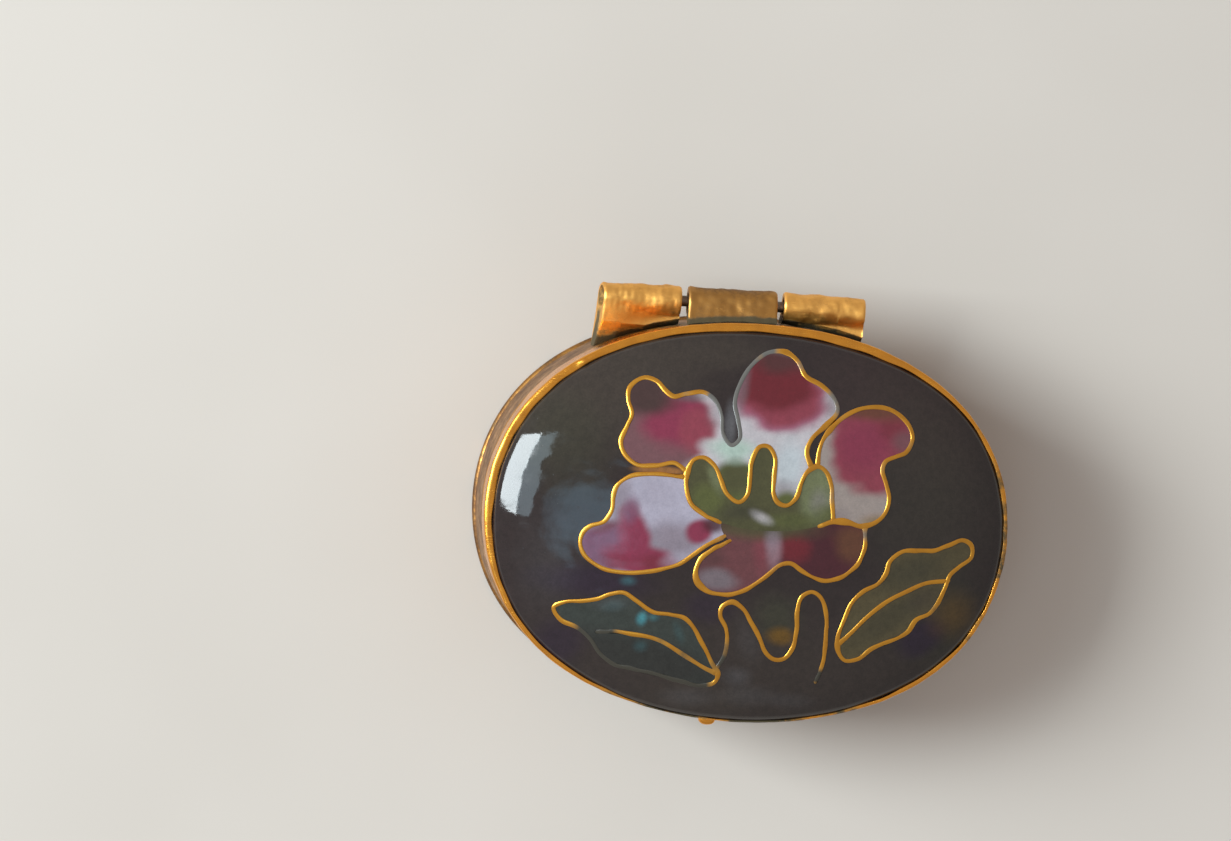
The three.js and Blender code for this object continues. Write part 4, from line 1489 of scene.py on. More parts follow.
class Glass(Enum):
    """The colours of glass in the maker's trays, as linear red, green and blue."""

    GROUND = (0.019, 0.013, 0.013)
    SOOT = (0.034, 0.026, 0.021)
    MOSS_BLACK = (0.029, 0.028, 0.018)
    VIOLET_BLACK = (0.017, 0.010, 0.020)
    EMBER = (0.046, 0.024, 0.023)
    MAGENTA = (0.186, 0.024, 0.054)
    DEEP_MAGENTA = (0.115, 0.011, 0.018)
    ROSE = (0.208, 0.036, 0.056)
    PINK = (0.270, 0.095, 0.145)
    BLUSH = (0.225, 0.130, 0.155)
    DUSTY_ROSE = (0.132, 0.058, 0.066)
    PURPLE = (0.134, 0.042, 0.080)
    MULBERRY = (0.112, 0.036, 0.041)
    PLUM = (0.052, 0.010, 0.016)
    BROWN = (0.100, 0.038, 0.018)
    WHITE = (0.415, 0.385, 0.405)
    ICE = (0.410, 0.440, 0.465)
    WARM_WHITE = (0.275, 0.228, 0.208)
    MINT_WHITE = (0.320, 0.420, 0.360)
    LILAC = (0.325, 0.300, 0.368)
    PEARL = (0.205, 0.170, 0.205)
    ASH = (0.140, 0.108, 0.122)
    SMOKE = (0.080, 0.078, 0.084)
    OLIVE_GREEN = (0.056, 0.054, 0.023)
    MOSS = (0.076, 0.086, 0.025)
    SAGE = (0.125, 0.138, 0.068)
    LEAF = (0.026, 0.032, 0.028)
    LEAF_BLACK = (0.019, 0.020, 0.018)
    TEAL = (0.045, 0.190, 0.220)
    OLIVE = (0.068, 0.054, 0.025)
    AMBER = (0.115, 0.055, 0.004)
    BRASS_STAIN = (0.250, 0.105, 0.030)
    PALE_FILM = (0.125, 0.120, 0.110)
    DARK_FILM = (0.042, 0.038, 0.028)


@dataclass(frozen=True)
class Dab:
    """One dab of coloured glass: an ellipse with a soft edge, turned by an angle in degrees."""

    glass: Glass
    x: float
    y: float
    reach_x: float
    reach_y: float
    turn: float = 0.0
    soft: float = 0.35
    cover: float = 1.0

    def laid_on(self, colour: np.ndarray, x: np.ndarray, y: np.ndarray) -> np.ndarray:
        """Lays the dab over a colour.

        Args:
            colour: The colour at each place so far.
            x: First coordinate of each place.
            y: Second coordinate of each place.

        Returns:
            The new colour at each place.
        """
        angle = math.radians(self.turn)
        along = ((x - self.x) * math.cos(angle) + (y - self.y) * math.sin(angle)) / self.reach_x
        across = ((y - self.y) * math.cos(angle) - (x - self.x) * math.sin(angle)) / self.reach_y
        uneven = 0.05 * ripple(x, y, 1.5, 5) + 0.05 * ripple(x, y, 3.1, 6)
        distance = np.hypot(along, across) + uneven
        share = self.cover * (1 - smooth(distance, 1 - self.soft, 1 + self.soft))
        return colour + share[:, None] * (np.array(self.glass.value) - colour)


@dataclass(frozen=True)
class Field:
    """One field between the wires: a place inside it, its first coat and the dabs laid over it in order."""

    seed: tuple[float, float]
    coat: Glass
    finish: GlassFinish
    dabs: tuple[Dab, ...] = ()


GROUND_GLASS = GlassFinish("ground_glass", "enamel_ground", grain=0.55)
MAGENTA_GLASS = GlassFinish("magenta_glass", "enamel_magenta", grain=0.28)
WHITE_GLASS = GlassFinish("white_glass", "enamel_white", grain=0.28)
PLUM_GLASS = GlassFinish("plum_glass", "enamel_plum", grain=0.35)
GREEN_GLASS = GlassFinish("green_glass", "enamel_green", grain=0.45)
DARK_LEAF_GLASS = GlassFinish("dark_leaf_glass", "enamel_leaf_dark", grain=0.6)
OLIVE_LEAF_GLASS = GlassFinish("olive_leaf_glass", "enamel_leaf_olive", grain=0.5)
COUNTER_GLASS = GlassFinish("counter_glass", "enamel_counter", grain=0.5, wave=0.02)

# The green that ran over the fused seams, so it lies on the fields on both sides.
LOW_FLOWER = (
    Dab(Glass.OLIVE_GREEN, 0.5, -0.1, 3.2, 0.6, 2, 0.7, 0.85),
    Dab(Glass.MOSS, 2.4, 0.5, 1.7, 0.45, 3, 0.7, 0.6),
)

FIELDS = {
    "ground_enamel": Field((0, -11), Glass.GROUND, GROUND_GLASS, (
        Dab(Glass.SOOT, 2, -10, 15, 4.5, 0, 0.7, 0.6),
        Dab(Glass.SOOT, 13.5, 2, 4, 6, 0, 0.7, 0.4),
        Dab(Glass.EMBER, 8.5, 8.5, 5.5, 3.5, -30, 0.7, 0.3),
        Dab(Glass.SOOT, -9, 8, 6, 3, 28, 0.6),
        Dab(Glass.SOOT, -2.6, 10.6, 3.2, 1, 5, 0.6, 0.8),
        Dab(Glass.MOSS_BLACK, -12, 4.5, 2.5, 3, 30, 0.7, 0.6),
        Dab(Glass.SOOT, -2.6, -11, 3, 1, 0, 0.7, 0.9),
        Dab(Glass.MOSS_BLACK, 10, 3, 3.5, 5.5, 10, 0.7, 0.3),
        Dab(Glass.MOSS_BLACK, 12, -5, 2.6, 3, 50, 0.6, 0.7),
        Dab(Glass.VIOLET_BLACK, 11.2, -6.4, 1.6, 1.1, 30, 0.5),
        Dab(Glass.VIOLET_BLACK, -9.5, -4, 3.2, 1, 0, 0.6, 0.9),
        Dab(Glass.VIOLET_BLACK, -11.4, -8, 1.4, 1.4, 0, 0.6, 0.7),
        Dab(Glass.VIOLET_BLACK, -2.4, -5.2, 1.4, 0.9, 0, 0.6, 0.7),
        Dab(Glass.BRASS_STAIN, -6, 3.13, 1.5, 0.26, 0, 0.4, 0.9),
        Dab(Glass.MOSS_BLACK, 1.9, -5.6, 1.3, 1.3, 0, 0.7, 0.9),
        Dab(Glass.AMBER, 2.25, -6.75, 0.8, 0.5, 0, 0.6, 0.8),
        Dab(Glass.AMBER, 13.2, -4.9, 1.3, 1.2, 0, 0.9, 0.4),
        Dab(Glass.SMOKE, -1.78, 6.1, 0.34, 1.3, 0, 0.7, 0.9),
        Dab(Glass.SMOKE, -0.2, -9.5, 0.7, 0.5, 0, 0.9, 0.35),
        Dab(Glass.SMOKE, -3.2, -11, 1.3, 0.5, 0, 0.9, 0.25),
        Dab(Glass.SMOKE, 0.6, -10.7, 1.6, 0.55, 0, 0.9, 0.22),
        Dab(Glass.SMOKE, 3.4, -10.9, 1.2, 0.4, 0, 0.9, 0.18),
        Dab(Glass.SMOKE, -12.4, -3, 1.5, 2.6, 0, 0.9, 0.16),
        Dab(Glass.SMOKE, 0.25, -7.2, 0.6, 1.2, 20, 0.9, 0.16),
        Dab(Glass.TEAL, -7.5, -3.85, 0.4, 0.25, 0, 0.9, 0.3),
    )),
    "ground_enamel_chip": Field((3.5, 4.95), Glass.GROUND, GROUND_GLASS),
    "enamel_upper_petals": Field((-5, 6), Glass.WHITE, MAGENTA_GLASS, (
        Dab(Glass.DUSTY_ROSE, -6.5, 5.7, 3.35, 3, 0, 0.13),
        Dab(Glass.MAGENTA, -5, 6.1, 2.2, 1.8, 5, 0.3),
        Dab(Glass.ROSE, -3.8, 5.6, 1.15, 1.4, 0, 0.35, 0.9),
        Dab(Glass.DUSTY_ROSE, -6.2, 4.2, 2.2, 0.8, 0, 0.5, 0.7),
        Dab(Glass.EMBER, -7.25, 7.8, 1.45, 1.3, -35, 0.4),
        Dab(Glass.EMBER, -6.3, 7.4, 1.2, 0.7, 0, 0.7, 0.7),
        Dab(Glass.SMOKE, -4.3, 7.75, 0.9, 0.3, 4, 0.7, 0.6),
        Dab(Glass.WHITE, -2.2, 4.55, 1.4, 0.65, -12, 0.4, 0.9),
        Dab(Glass.ASH, -2.75, 6.9, 0.5, 0.8, 0, 0.8, 0.3),
        Dab(Glass.MINT_WHITE, -1.6, 4.75, 1.3, 0.6, 0, 0.6, 0.9),
        Dab(Glass.PINK, 1.3, 8, 2.9, 2.1, -4, 0.16),
        Dab(Glass.ROSE, 1.3, 8.15, 2.55, 1.85, -4, 0.2),
        Dab(Glass.DEEP_MAGENTA, 0.9, 9.1, 2.5, 1.9, 0, 0.28),
        Dab(Glass.EMBER, 1.2, 10.5, 1.7, 0.9, 0, 0.6, 0.7),
        Dab(Glass.ASH, -1.2, 8.6, 0.45, 2, -8, 0.6, 0.55),
        Dab(Glass.ASH, 4.55, 7.9, 0.5, 0.8, 0, 0.8, 0.45),
        Dab(Glass.ICE, 2, 3.9, 0.9, 1.5, 0, 0.6),
        Dab(Glass.MOSS, -1.3, 2.5, 1.6, 1.5, 0, 0.2),
        Dab(Glass.OLIVE_GREEN, -1.35, 2.9, 1, 1, 0, 0.5, 0.9),
        Dab(Glass.MINT_WHITE, -1.5, 4.05, 0.8, 0.3, 0, 0.8, 0.4),
        Dab(Glass.ASH, 1.85, 2.5, 0.7, 0.5, 0, 0.8, 0.5),
        Dab(Glass.MOSS, 1.95, 1.5, 0.95, 0.85, 0, 0.4),
    )),
    "enamel_right_petal": Field((7, 5), Glass.WARM_WHITE, MAGENTA_GLASS, (
        Dab(Glass.ROSE, 7.4, 5.3, 2.8, 3, 0, 0.18),
        Dab(Glass.MAGENTA, 6.6, 5.4, 1.7, 1.6, 0, 0.6, 0.8),
        Dab(Glass.DEEP_MAGENTA, 8.5, 6.6, 0.9, 0.7, 0, 0.7, 0.5),
        Dab(Glass.BROWN, 7.2, 7.65, 2.6, 0.65, 0, 0.6, 0.85),
        Dab(Glass.DUSTY_ROSE, 9.3, 5.75, 0.75, 0.65, 0, 0.6, 0.8),
        Dab(Glass.WARM_WHITE, 6.9, 1.05, 2.6, 1.25, 0, 0.35),
        Dab(Glass.ASH, 5.2, 0.95, 0.7, 0.4, 0, 0.8, 0.4),
        Dab(Glass.SAGE, 7.6, 0.75, 0.9, 0.3, 10, 0.8, 0.5),
        Dab(Glass.BRASS_STAIN, 7.5, 0.85, 0.8, 0.35, 10, 0.8, 0.3),
    )),
    "enamel_lower_left_petal": Field((-6, 0), Glass.LILAC, WHITE_GLASS, (
        Dab(Glass.PEARL, -8.3, 1.1, 0.7, 1.4, 0, 0.6, 0.8),
        Dab(Glass.PEARL, -6.6, 1.7, 1.6, 0.9, 0, 0.8, 0.2),
        Dab(Glass.PEARL, -5.1, -1.35, 2, 1.3, 8, 0.5),
        Dab(Glass.PURPLE, -8.9, -1.7, 2, 1.5, 0, 0.22),
        Dab(Glass.MAGENTA, -7.3, -1.1, 0.95, 1.9, 14, 0.35),
        Dab(Glass.MAGENTA, -6.9, -2.45, 2.1, 0.95, -4, 0.3),
        Dab(Glass.DEEP_MAGENTA, -6, -2.65, 0.9, 0.5, 0, 0.8, 0.6),
        Dab(Glass.DEEP_MAGENTA, -8.5, -2.75, 1, 0.45, 0, 0.8, 0.35),
        Dab(Glass.PURPLE, -7.6, 0.55, 0.5, 0.8, 0, 0.6, 0.75),
        Dab(Glass.DUSTY_ROSE, -9.3, -0.5, 0.9, 0.35, 15, 0.7, 0.6),
        Dab(Glass.MAGENTA, -3.35, -0.5, 0.85, 0.72, 30, 0.35),
        Dab(Glass.PLUM, -2.45, -0.05, 0.65, 0.45, 0, 0.6, 0.9),
        Dab(Glass.LILAC, -4.6, -2.25, 0.9, 0.4, 20, 0.7, 0.4),
    )),
    "enamel_bottom_petal": Field((4, -1.5), Glass.PLUM, PLUM_GLASS, (
        Dab(Glass.MULBERRY, -0.9, -2.2, 2.6, 2.2, 0, 0.25),
        Dab(Glass.EMBER, -2.6, -2.1, 0.9, 0.8, 0, 0.7, 0.5),
        Dab(Glass.ASH, -2.05, -3.4, 1.25, 0.65, -6, 0.5),
        Dab(Glass.ROSE, 0.6, -1.5, 0.45, 1.2, 4, 0.8, 0.4),
        Dab(Glass.DEEP_MAGENTA, 2.6, -1.2, 1, 0.85, 0, 0.5),
        Dab(Glass.BLUSH, 1.4, -1.15, 0.45, 1.3, 4, 0.7, 0.9),
        Dab(Glass.BROWN, 6.3, -0.7, 1.1, 1.1, 0, 0.5, 0.85),
        *LOW_FLOWER,
        Dab(Glass.PEARL, 1.25, -0.65, 0.4, 0.65, 0, 0.9, 0.5),
    )),
    "enamel_centre": Field((3.6, 2.5), Glass.OLIVE_GREEN, GREEN_GLASS, (
        Dab(Glass.MOSS, -2.9, 1.5, 1, 0.9, 0, 0.6, 0.8),
        Dab(Glass.SAGE, -2.5, 2.8, 0.35, 0.9, 25, 0.7, 0.8),
        Dab(Glass.SAGE, 3.9, 2.3, 1.05, 1.8, -5, 0.35),
        Dab(Glass.PEARL, 4.05, 1.75, 0.5, 0.7, 0, 0.8, 0.35),
        Dab(Glass.MOSS, 4.4, 1.1, 0.6, 0.5, 0, 0.7, 0.6),
        Dab(Glass.MOSS_BLACK, -0.7, 0.8, 1.3, 0.5, 0, 0.7, 0.6),
        *LOW_FLOWER,
        Dab(Glass.WHITE, 0.5, 0.6, 0.6, 0.27, -25, 0.85, 0.62),
    )),
    "enamel_leaf_left": Field((-8, -6), Glass.LEAF, DARK_LEAF_GLASS, (
        Dab(Glass.LEAF_BLACK, -6, -8.7, 5, 1.2, -12, 0.5),
        Dab(Glass.SMOKE, -8.4, -5.35, 1, 0.4, 5, 0.8, 0.25),
        Dab(Glass.TEAL, -6.45, -6.15, 0.28, 0.36, -15, 0.8, 0.9),
        Dab(Glass.TEAL, -5.75, -6.05, 0.3, 0.2, 0, 0.8, 0.35),
        Dab(Glass.TEAL, -8.3, -5.5, 0.6, 0.3, 10, 0.8, 0.08),
        Dab(Glass.TEAL, -4.1, -6.9, 0.25, 0.6, 25, 0.8, 0.1),
        Dab(Glass.TEAL, -6.4, -7.9, 0.35, 0.3, 0, 0.9, 0.15),
    )),
    "enamel_leaf_right_upper": Field((10.5, -2), Glass.OLIVE, OLIVE_LEAF_GLASS, (
        Dab(Glass.MOSS_BLACK, 10.2, -2.3, 2, 0.9, 20, 0.7, 0.6),
    )),
    "enamel_leaf_right_lower": Field((9.5, -5.2), Glass.OLIVE, OLIVE_LEAF_GLASS, (
        Dab(Glass.MOSS_BLACK, 9, -5.3, 2.6, 0.8, 35, 0.7, 0.5),
        Dab(Glass.SOOT, 11.2, -3.9, 1.1, 0.7, 30, 0.7, 0.4),
    )),
}


BATCH = 4_000_000  # distances worked out at one time


def nearest_on(
    line: np.ndarray, closed: bool, places: np.ndarray, limit: float
) -> tuple[np.ndarray, np.ndarray]:
    """The nearest point of a line to each place.

    A place is dropped on each stretch of the line between two of its points, and the shortest drop wins.

    Args:
        line: The line's points.
        closed: Whether the last point joins the first.
        places: The places, in the plane.
        limit: Places further than this from the line's bounds aren't measured.

    Returns:
        The distance, which is endless where it isn't measured, and the nearest point.
    """
    distance = np.full(len(places), np.inf)
    foot = places.copy()
    low, high = line.min(0) - limit, line.max(0) + limit
    near = np.flatnonzero(((places > low) & (places < high)).all(1))
    start = line if closed else line[:-1]
    step = np.roll(line, -1, 0)[: len(start)] - start
    squared = (step**2).sum(1)
    for part in np.array_split(near, max(1, len(near) * len(start) // BATCH)):
        gap = places[part, None] - start
        share = np.clip((gap * step).sum(-1) / squared, 0, 1)
        drop = gap - share[..., None] * step
        length = (drop**2).sum(-1)
        best = length.argmin(1)
        rows = np.arange(len(part))
        distance[part] = np.sqrt(length[rows, best])
        foot[part] = places[part] - drop[rows, best]
    return distance, foot


@dataclass(frozen=True)
class EnamelPicture:
    """The glass between the wires: one closed piece for each field."""

    dome: Dome
    oval: RoundedOval
    edge: float
    bottom: float
    rim_cover: float = 0.03
    columns: int = 300
    rows: int = 236
    wire_half: float = 0.15
    flank: float = 0.12
    line_spacing: float = 0.2
    search: float = 1.2
    snap: float = 0.26
    seam_half: float = 0.13
    waves: tuple[tuple[float, float, int], ...] = ((0.010, 4.5, 41), (0.0045, 1.9, 42), (0.0016, 0.9, 43))

    def build(self, bench: Bench) -> None:
        """Lays the ten fields.

        Args:
            bench: The bench that lays them.
        """
        places = self.grid()
        cells = (places[:-1, :-1] + places[1:, :-1] + places[1:, 1:] + places[:-1, 1:]) / 4
        labels = self.labels(cells)
        corner, corner_foot = self.nearest(places.reshape(-1, 2), WIRES.values())
        seam, seam_foot = self.nearest(places.reshape(-1, 2), FUSED_SEAMS)
        for number, (node, area) in enumerate(FIELDS.items()):
            drops = (corner, corner_foot, seam, seam_foot)
            skin = self.skin(places, labels == number, drops, area)
            bench.lay("glass_" + node, skin, Body.LID, area.finish, node)

    def grid(self) -> np.ndarray:
        """Lays squares in rings round the middle, so that the outermost ring is the oval.

        A point's share of the way out is the larger of its two square coordinates, and its angle runs
        evenly along each of the square's four sides.

        Returns:
            Points by row, by column, by coordinate.
        """
        u = np.linspace(-1, 1, self.columns + 1)[None, :] + np.zeros((self.rows + 1, 1))
        v = np.linspace(-1, 1, self.rows + 1)[:, None] + np.zeros((1, self.columns + 1))
        share = np.maximum(np.abs(u), np.abs(v))
        wide = np.abs(u) >= np.abs(v)
        safe_u = np.where(u == 0, 1, u)
        safe_v = np.where(v == 0, 1, v)
        quarter = np.pi / 4
        by_side = quarter * v / safe_u + np.where(u < 0, np.pi, 0)
        by_top = np.pi / 2 - quarter * u / safe_v + np.where(v < 0, np.pi, 0)
        turn = np.where(wide, by_side, by_top)
        x, y = self.oval.outline(turn, self.edge_inset(turn))
        return np.stack([x * share, y * share], -1)

    def edge_inset(self, turn: np.ndarray) -> np.ndarray:
        """Where the glass ends: just under the bezel's inner edge, which is narrower at the front."""
        return bezel_width(turn) - self.rim_cover

    def nearest(self, places: np.ndarray, runs: Iterable[WireRun]) -> tuple[np.ndarray, np.ndarray]:
        """Measures each place against several lines.

        Args:
            places: The places.
            runs: The lines.

        Returns:
            The distance to the nearest line, and the nearest point.
        """
        best = np.full(len(places), np.inf)
        foot = places.copy()
        for run in runs:
            distance, point = nearest_on(run.line(self.line_spacing), run.closed, places, self.search)
            closer = distance < best
            best = np.where(closer, distance, best)
            foot = np.where(closer[:, None], point, foot)
        return best, foot

    def labels(self, cells: np.ndarray) -> np.ndarray:
        """Which field each cell of the grid belongs to.

        Each field spreads from its seed over neighbouring cells until wires or fused seams stop it. The
        cells on a seam then go to the field on their own side of it.

        Args:
            cells: The cells' middles.

        Returns:
            The fields' numbers, or -1 under a wire.
        """
        shape = cells.shape[:2]
        flat = cells.reshape(-1, 2)
        wire, _ = self.nearest(flat, WIRES.values())
        seam, _ = self.nearest(flat, FUSED_SEAMS)
        open_cells = (wire > self.wire_half - 0.02).reshape(shape)
        on_seam = (seam < self.seam_half).reshape(shape)
        labels = np.full(shape, -1)
        for number, area in enumerate(FIELDS.values()):
            away = ((cells - np.array(area.seed)) ** 2).sum(-1)
            labels[np.unravel_index(np.where(open_cells, away, np.inf).argmin(), shape)] = number
        labels = self.spread(labels, open_cells & ~on_seam)
        return self.untangled(self.spread(labels, open_cells))

    @staticmethod
    def spread(labels: np.ndarray, allowed: np.ndarray) -> np.ndarray:
        """Lets each field grow into its unclaimed neighbours until nothing changes.

        Args:
            labels: The fields' numbers so far.
            allowed: Which cells may be claimed.

        Returns:
            The fields' numbers.
        """
        while True:
            grown = labels
            for axis in (0, 1):
                for shift in (1, -1):
                    beside = np.roll(grown, shift, axis)
                    border = [slice(None), slice(None)]
                    border[axis] = 0 if shift == 1 else -1
                    beside[tuple(border)] = -1
                    grown = np.where((grown < 0) & allowed, beside, grown)
            if (grown == labels).all():
                return labels
            labels = grown

    @staticmethod
    def untangled(labels: np.ndarray) -> np.ndarray:
        """Clears cells that meet a cell of their own field at a corner only, so that no wall is pinched.

        Args:
            labels: The fields' numbers.

        Returns:
            The cleared numbers.
        """
        for _ in range(6):
            a, b = labels[:-1, :-1], labels[:-1, 1:]
            c, d = labels[1:, :-1], labels[1:, 1:]
            falling = (a == d) & (a >= 0) & (b != a) & (c != a)
            rising = (b == c) & (b >= 0) & (a != b) & (d != b)
            if not (falling | rising).any():
                break
            labels = labels.copy()
            labels[:-1, :-1][falling] = -1
            labels[:-1, 1:][rising] = -1
        return labels

    def skin(self, places: np.ndarray, mine: np.ndarray, drops: tuple, area: Field) -> Skin:
        """One field as a closed piece: its top, its underside and the walls between them.

        Points on the border slide onto the wire's flank or the fused seam. The top is the dome plus a
        faint waviness, and sinks a little away from the wires.

        Args:
            places: The grid's points.
            mine: Which cells belong to the field.
            drops: Distances and nearest points for wires and for seams.
            area: The field.

        Returns:
            The closed skin with its glaze mark.
        """
        columns = places.shape[1]
        flat = places.reshape(-1, 2)
        number = np.arange(len(flat)).reshape(places.shape[:2])
        faces = np.stack([number[:-1, :-1], number[:-1, 1:], number[1:, 1:], number[1:, :-1]], -1)
        edges = []
        padded = np.pad(mine, 1)
        for side, (row, column) in enumerate(((-1, 0), (0, 1), (1, 0), (0, -1))):
            beside = padded[1 + row : 1 + row + mine.shape[0], 1 + column : 1 + column + mine.shape[1]]
            open_side = faces[mine & ~beside]
            edges.append(open_side[:, [side, (side + 1) % 4]])
        border = np.concatenate(edges)
        top = faces[mine]
        used, top_index = np.unique(top, return_inverse=True)
        top_index = top_index.reshape(-1, 4)
        renumber = np.full(len(flat), -1)
        renumber[used] = np.arange(len(used))
        plan = self.settled(flat, np.unique(border), drops)[used]
        x, y = plan[:, 0], plan[:, 1]
        wire_distance = drops[0][used]
        sunk = 0.02 * smooth(wire_distance, 0.1, 0.8)
        wavy = sum(tall * ripple(x, y, length, seed, 9) for tall, length, seed in self.waves)
        rise = self.dome.height(x, y)
        high = self.edge + rise - sunk + wavy
        points = np.concatenate([np.stack([x, y, high], -1), np.stack([x, y, self.bottom + rise], -1)])
        count = len(used)
        below = top_index[:, ::-1] + count
        first, second = renumber[border[:, 0]], renumber[border[:, 1]]
        walls = np.stack([first, first + count, second + count, second], -1)
        colour = np.tile(np.array(area.coat.value), (count, 1))
        for dab in area.dabs:
            colour = dab.laid_on(colour, x, y)
        quads = np.concatenate([top_index, below, walls])
        return Skin(points, quads, marks={"glaze": np.concatenate([colour, colour])}).turned_out()

    def settled(self, flat: np.ndarray, border: np.ndarray, drops: tuple) -> np.ndarray:
        """Moves a field's border points onto the wire's flank or onto the seam.

        Args:
            flat: The grid's points in one row.
            border: The numbers of the border's points.
            drops: Distances and nearest points for wires and for seams.

        Returns:
            The grid's points with the border moved.
        """
        wire, wire_foot, seam, seam_foot = drops
        moved = flat.copy()
        by_wire = border[wire[border] < self.snap]
        away = flat[by_wire] - wire_foot[by_wire]
        moved[by_wire] = wire_foot[by_wire] + away / wire[by_wire, None] * self.flank
        by_seam = border[(wire[border] >= self.snap) & (seam[border] < self.snap)]
        moved[by_seam] = seam_foot[by_seam]
        return moved


@dataclass(frozen=True)
class LidPlate:
    """The domed copper plate under the picture, and the counter enamel fired inside it."""

    sizes: BoxSizes
    dome: Dome
    turns: int = 288
    counter: Colour = (0.035, 0.13, 0.17)
    counter_share: float = 0.92
    counter_coat: float = 0.25

    def build(self, bench: Bench) -> None:
        """Lays the plate and the counter enamel."""
        bench.lay("lid_copper_plate", self.plate(), Body.LID, FIRED_COPPER, "dome_plate")
        bench.lay("lid_counter_enamel", self.counter_enamel(), Body.LID, COUNTER_GLASS, "counter_enamel")

    def plate(self) -> Skin:
        """The plate: a dome over the glass's outline with a flat seat round its edge.

        Returns:
            The closed skin.
        """
        low, high = span("dome_plate")
        seat = low[2]
        top = high[2] - self.dome.rise
        outer = self.sizes.oval.half_length - high[0]
        inner = self.sizes.oval.half_length - span("counter_enamel")[1][0] / self.counter_share
        hollow = Dome(self.dome.oval, inner, self.dome.rise, self.dome.fullness)
        shares = np.sin(np.linspace(0, np.pi / 2, 40))
        under = [(inner, share, seat) for share in shares]
        over = [(self.dome.inset, share, top) for share in shares[::-1]]
        rows = [*under, (outer, 1.0, seat), (outer, 1.0, top), *over]

        def lift(x: np.ndarray, y: np.ndarray) -> np.ndarray:
            """The underside follows the smaller dome and the top the larger one."""
            below = np.arange(len(rows))[:, None] < len(under)
            return np.where(below, hollow.height(x, y), self.dome.height(x, y))

        return oval_plate(self.sizes.oval, rows, self.turns, lift)

    def counter_enamel(self) -> Skin:
        """The glass inside the dome, thinning to its edge and a little wavy below.

        Returns:
            The closed skin with its glaze mark.
        """
        _, high = span("counter_enamel")
        inner = self.sizes.oval.half_length - high[0] / self.counter_share
        hollow = Dome(self.dome.oval, inner, self.dome.rise, self.dome.fullness)
        top = high[2] - self.dome.rise
        shares = self.counter_share * np.sin(np.linspace(0, np.pi / 2, 60))
        under = [(inner, share, top) for share in shares]
        over = [(inner, share, top) for share in shares[::-1]]
        rows = [*under, *over]
        middle = len(under)

        def lift(x: np.ndarray, y: np.ndarray) -> np.ndarray:
            """The dome, less the coat's thickness on the underside.

            Args:
                x: First coordinate by row and turn.
                y: Second coordinate.

            Returns:
                The height at each point.
            """
            share = np.abs(np.arange(len(rows)) - (middle - 0.5))[:, None] / middle
            coat = self.counter_coat * np.clip(share * 8, 0, 1) ** 0.6
            wavy = 0.015 * ripple(x, y, 2.4, 71) + 0.02 * ripple(x, y, 6.0, 72)
            below = np.arange(len(rows))[:, None] < middle
            return hollow.height(x, y) - np.where(below, coat + wavy, 0)

        skin = oval_plate(self.sizes.oval, rows, self.turns, lift)
        x, y = skin.points[:, 0], skin.points[:, 1]
        colour = np.tile(np.array(self.counter), (len(x), 1))
        speckle = smooth(ripple(x, y, 1.3, 73) + 0.5 * ripple(x, y, 0.5, 74), 0.5, 1.3)[:, None]
        skin.marks = {"glaze": colour * (1 - 0.5 * speckle)}
        return skin


# ---- studio


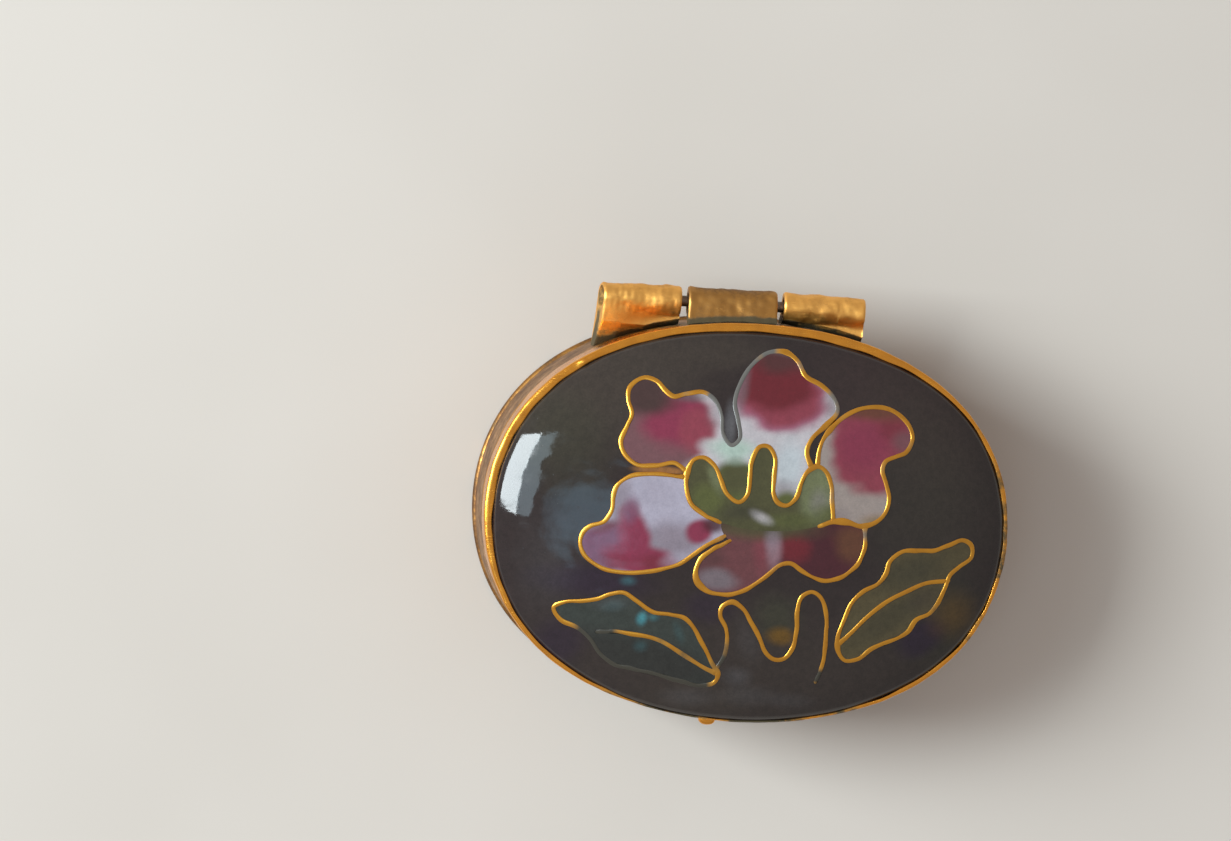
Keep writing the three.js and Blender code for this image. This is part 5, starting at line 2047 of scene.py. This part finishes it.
@dataclass(frozen=True)
class Studio:
    """A pale floor, a window-like lamp on the left and soft light all round."""

    centre: tuple[float, float, float]
    sensor: float = 36.0
    view_width: float = 76.94
    distance: float = 300.0
    lean_left: float = 5.4
    lean_back: float = 2.8
    roll: float = 3.8
    off_centre: tuple[float, float] = (8.27, -6.43)
    floor_half: float = 1.5

    def build(self) -> None:
        """Sets the camera, the floor and the lights."""
        scene = bpy.context.scene
        scene.view_settings.view_transform = "Standard"
        scene.camera = self.camera()
        self.floor()
        self.world()
        self.lamp("window_lamp", (-0.462, 0.098, 0.329), (0.245, 0.30), 4.3, (0.86, 0.96, 1.0))
        self.lamp("sky_pane", (-0.336, 0.071, 0.465), (0.22, 0.10), 0.22, (0.66, 0.88, 1.0))

    def camera(self) -> bpy.types.Object:
        """The camera over the lid, leaning a little to the left and to the hinge, and rolled.

        The viewing direction is fixed first, then the place from which the rim's centre falls where it
        should, off the middle of the picture.

        Returns:
            The camera, linked to the scene.
        """
        left, back = (math.sin(math.radians(angle)) for angle in (self.lean_left, self.lean_back))
        toward = Vector((-left, back, math.sqrt(1 - left**2 - back**2)))
        right = Vector((0, 1, 0)).cross(toward).normalized()
        up = toward.cross(right)
        turn = Matrix.Rotation(math.radians(self.roll), 3, toward)
        right, up = turn @ right, turn @ up
        aim = Vector(self.centre) - right * self.off_centre[0] - up * self.off_centre[1]
        place = (aim + toward * self.distance) * METRE
        data = bpy.data.cameras.new("camera")
        data.lens = self.sensor * self.distance / self.view_width
        data.sensor_width = self.sensor
        data.clip_start = 0.01
        camera = bpy.data.objects.new("camera", data)
        axes = Matrix((right, up, toward)).transposed().to_4x4()
        camera.matrix_world = Matrix.Translation(place) @ axes
        bpy.context.scene.collection.objects.link(camera)
        return camera

    def floor(self) -> bpy.types.Object:
        """A pale floor of one face.

        Returns:
            The floor, linked to the scene.
        """
        mesh = bpy.data.meshes.new("studio_floor")
        half = self.floor_half
        corners = [(-half, -half, 0), (half, -half, 0), (half, half, 0), (-half, half, 0)]
        mesh.from_pydata(corners, [], [(0, 1, 2, 3)])
        material, tray, shader, place = new_material("floor_paper")
        cloud = tray.noise(place, 0.02, 3)
        colour = tray.blend(tray.ramp(cloud, 0.3, 0.7), (0.58, 0.53, 0.48, 1), (0.62, 0.57, 0.52, 1))
        feed(tray, shader, "Base Color", colour)
        shader.inputs["Roughness"].default_value = 0.9
        mesh.materials.append(material)
        floor = bpy.data.objects.new("studio_floor", mesh)
        bpy.context.scene.collection.objects.link(floor)
        return floor

    def world(self) -> None:
        """Soft warm light from everywhere, stronger on the window's side, with a pale cool glow overhead.

        A glow's strength follows the cosine between a direction and the glow's middle, by a smooth step.
        """
        world = bpy.data.worlds.new("studio_light")
        world.use_nodes = True
        tray = NodeTray(world.node_tree)
        direction = tray.put("TexCoord").outputs["Generated"]
        shares = []
        window_side = ((-0.55, 0.35, 0.76), -0.4, 0.95)
        overhead = ((-0.285, -0.075, 0.956), 0.981, 0.9996)
        for middle, low, high in (window_side, overhead):
            cosine = tray.put("VectorMath", {0: direction, 1: middle}, operation="DOT_PRODUCT")
            shares.append(tray.ramp(cosine.outputs["Value"], low, high))
        warm = tray.blend(shares[0], (0.37, 0.35, 0.34, 1), (0.52, 0.48, 0.455, 1))
        glowing = tray.blend(shares[1], warm, (1.3, 1.9, 2.35, 1))
        backdrop = world.node_tree.nodes["Background"]
        tray.tree.links.new(glowing, backdrop.inputs["Color"])
        bpy.context.scene.world = world

    def lamp(
        self,
        name: str,
        place: tuple[float, float, float],
        size: tuple[float, float],
        power: float,
        colour: Colour,
    ) -> None:
        """Hangs one soft rectangular lamp that faces the box.

        Args:
            name: The lamp's name.
            place: Where it hangs, in metres.
            size: Its two sides, in metres.
            power: Its power, in watts.
            colour: Its colour.
        """
        data = bpy.data.lights.new(name, "AREA")
        data.shape = "RECTANGLE"
        data.size, data.size_y = size
        data.energy = power
        data.color = colour
        lamp = bpy.data.objects.new(name, data)
        lamp.location = place
        facing = Vector(self.centre) * METRE - Vector(place)
        lamp.rotation_euler = facing.to_track_quat("-Z", "Y").to_euler()
        bpy.context.scene.collection.objects.link(lamp)


# ---- the box


def main() -> None:
    """Builds the box and its studio.
    """
    logging.basicConfig(level=logging.INFO, format="%(message)s")
    sizes = BoxSizes.from_model()
    glass_low, glass_high = span("ground_enamel")
    edge = sizes.rim - LidShell.bezel_drop + LidShell.glass_rise
    inset = float(sizes.oval.half_length - glass_high[0])
    glazed = GlazedDome(sizes.oval, inset)
    Studio((0.0, 0.0, float(sizes.rim))).build()
    bench = Bench(EffectGroups.built())
    BaseTray(sizes).build(bench)
    LidShell(sizes).build(bench)
    LidPlate(sizes, Dome(sizes.oval, inset)).build(bench)
    CloisonWires(glazed, edge).build(bench)
    EnamelPicture(glazed, sizes.oval, edge, float(glass_low[2])).build(bench)
    Hinge(sizes).build(bench)


if __name__ == "__main__":
    main()
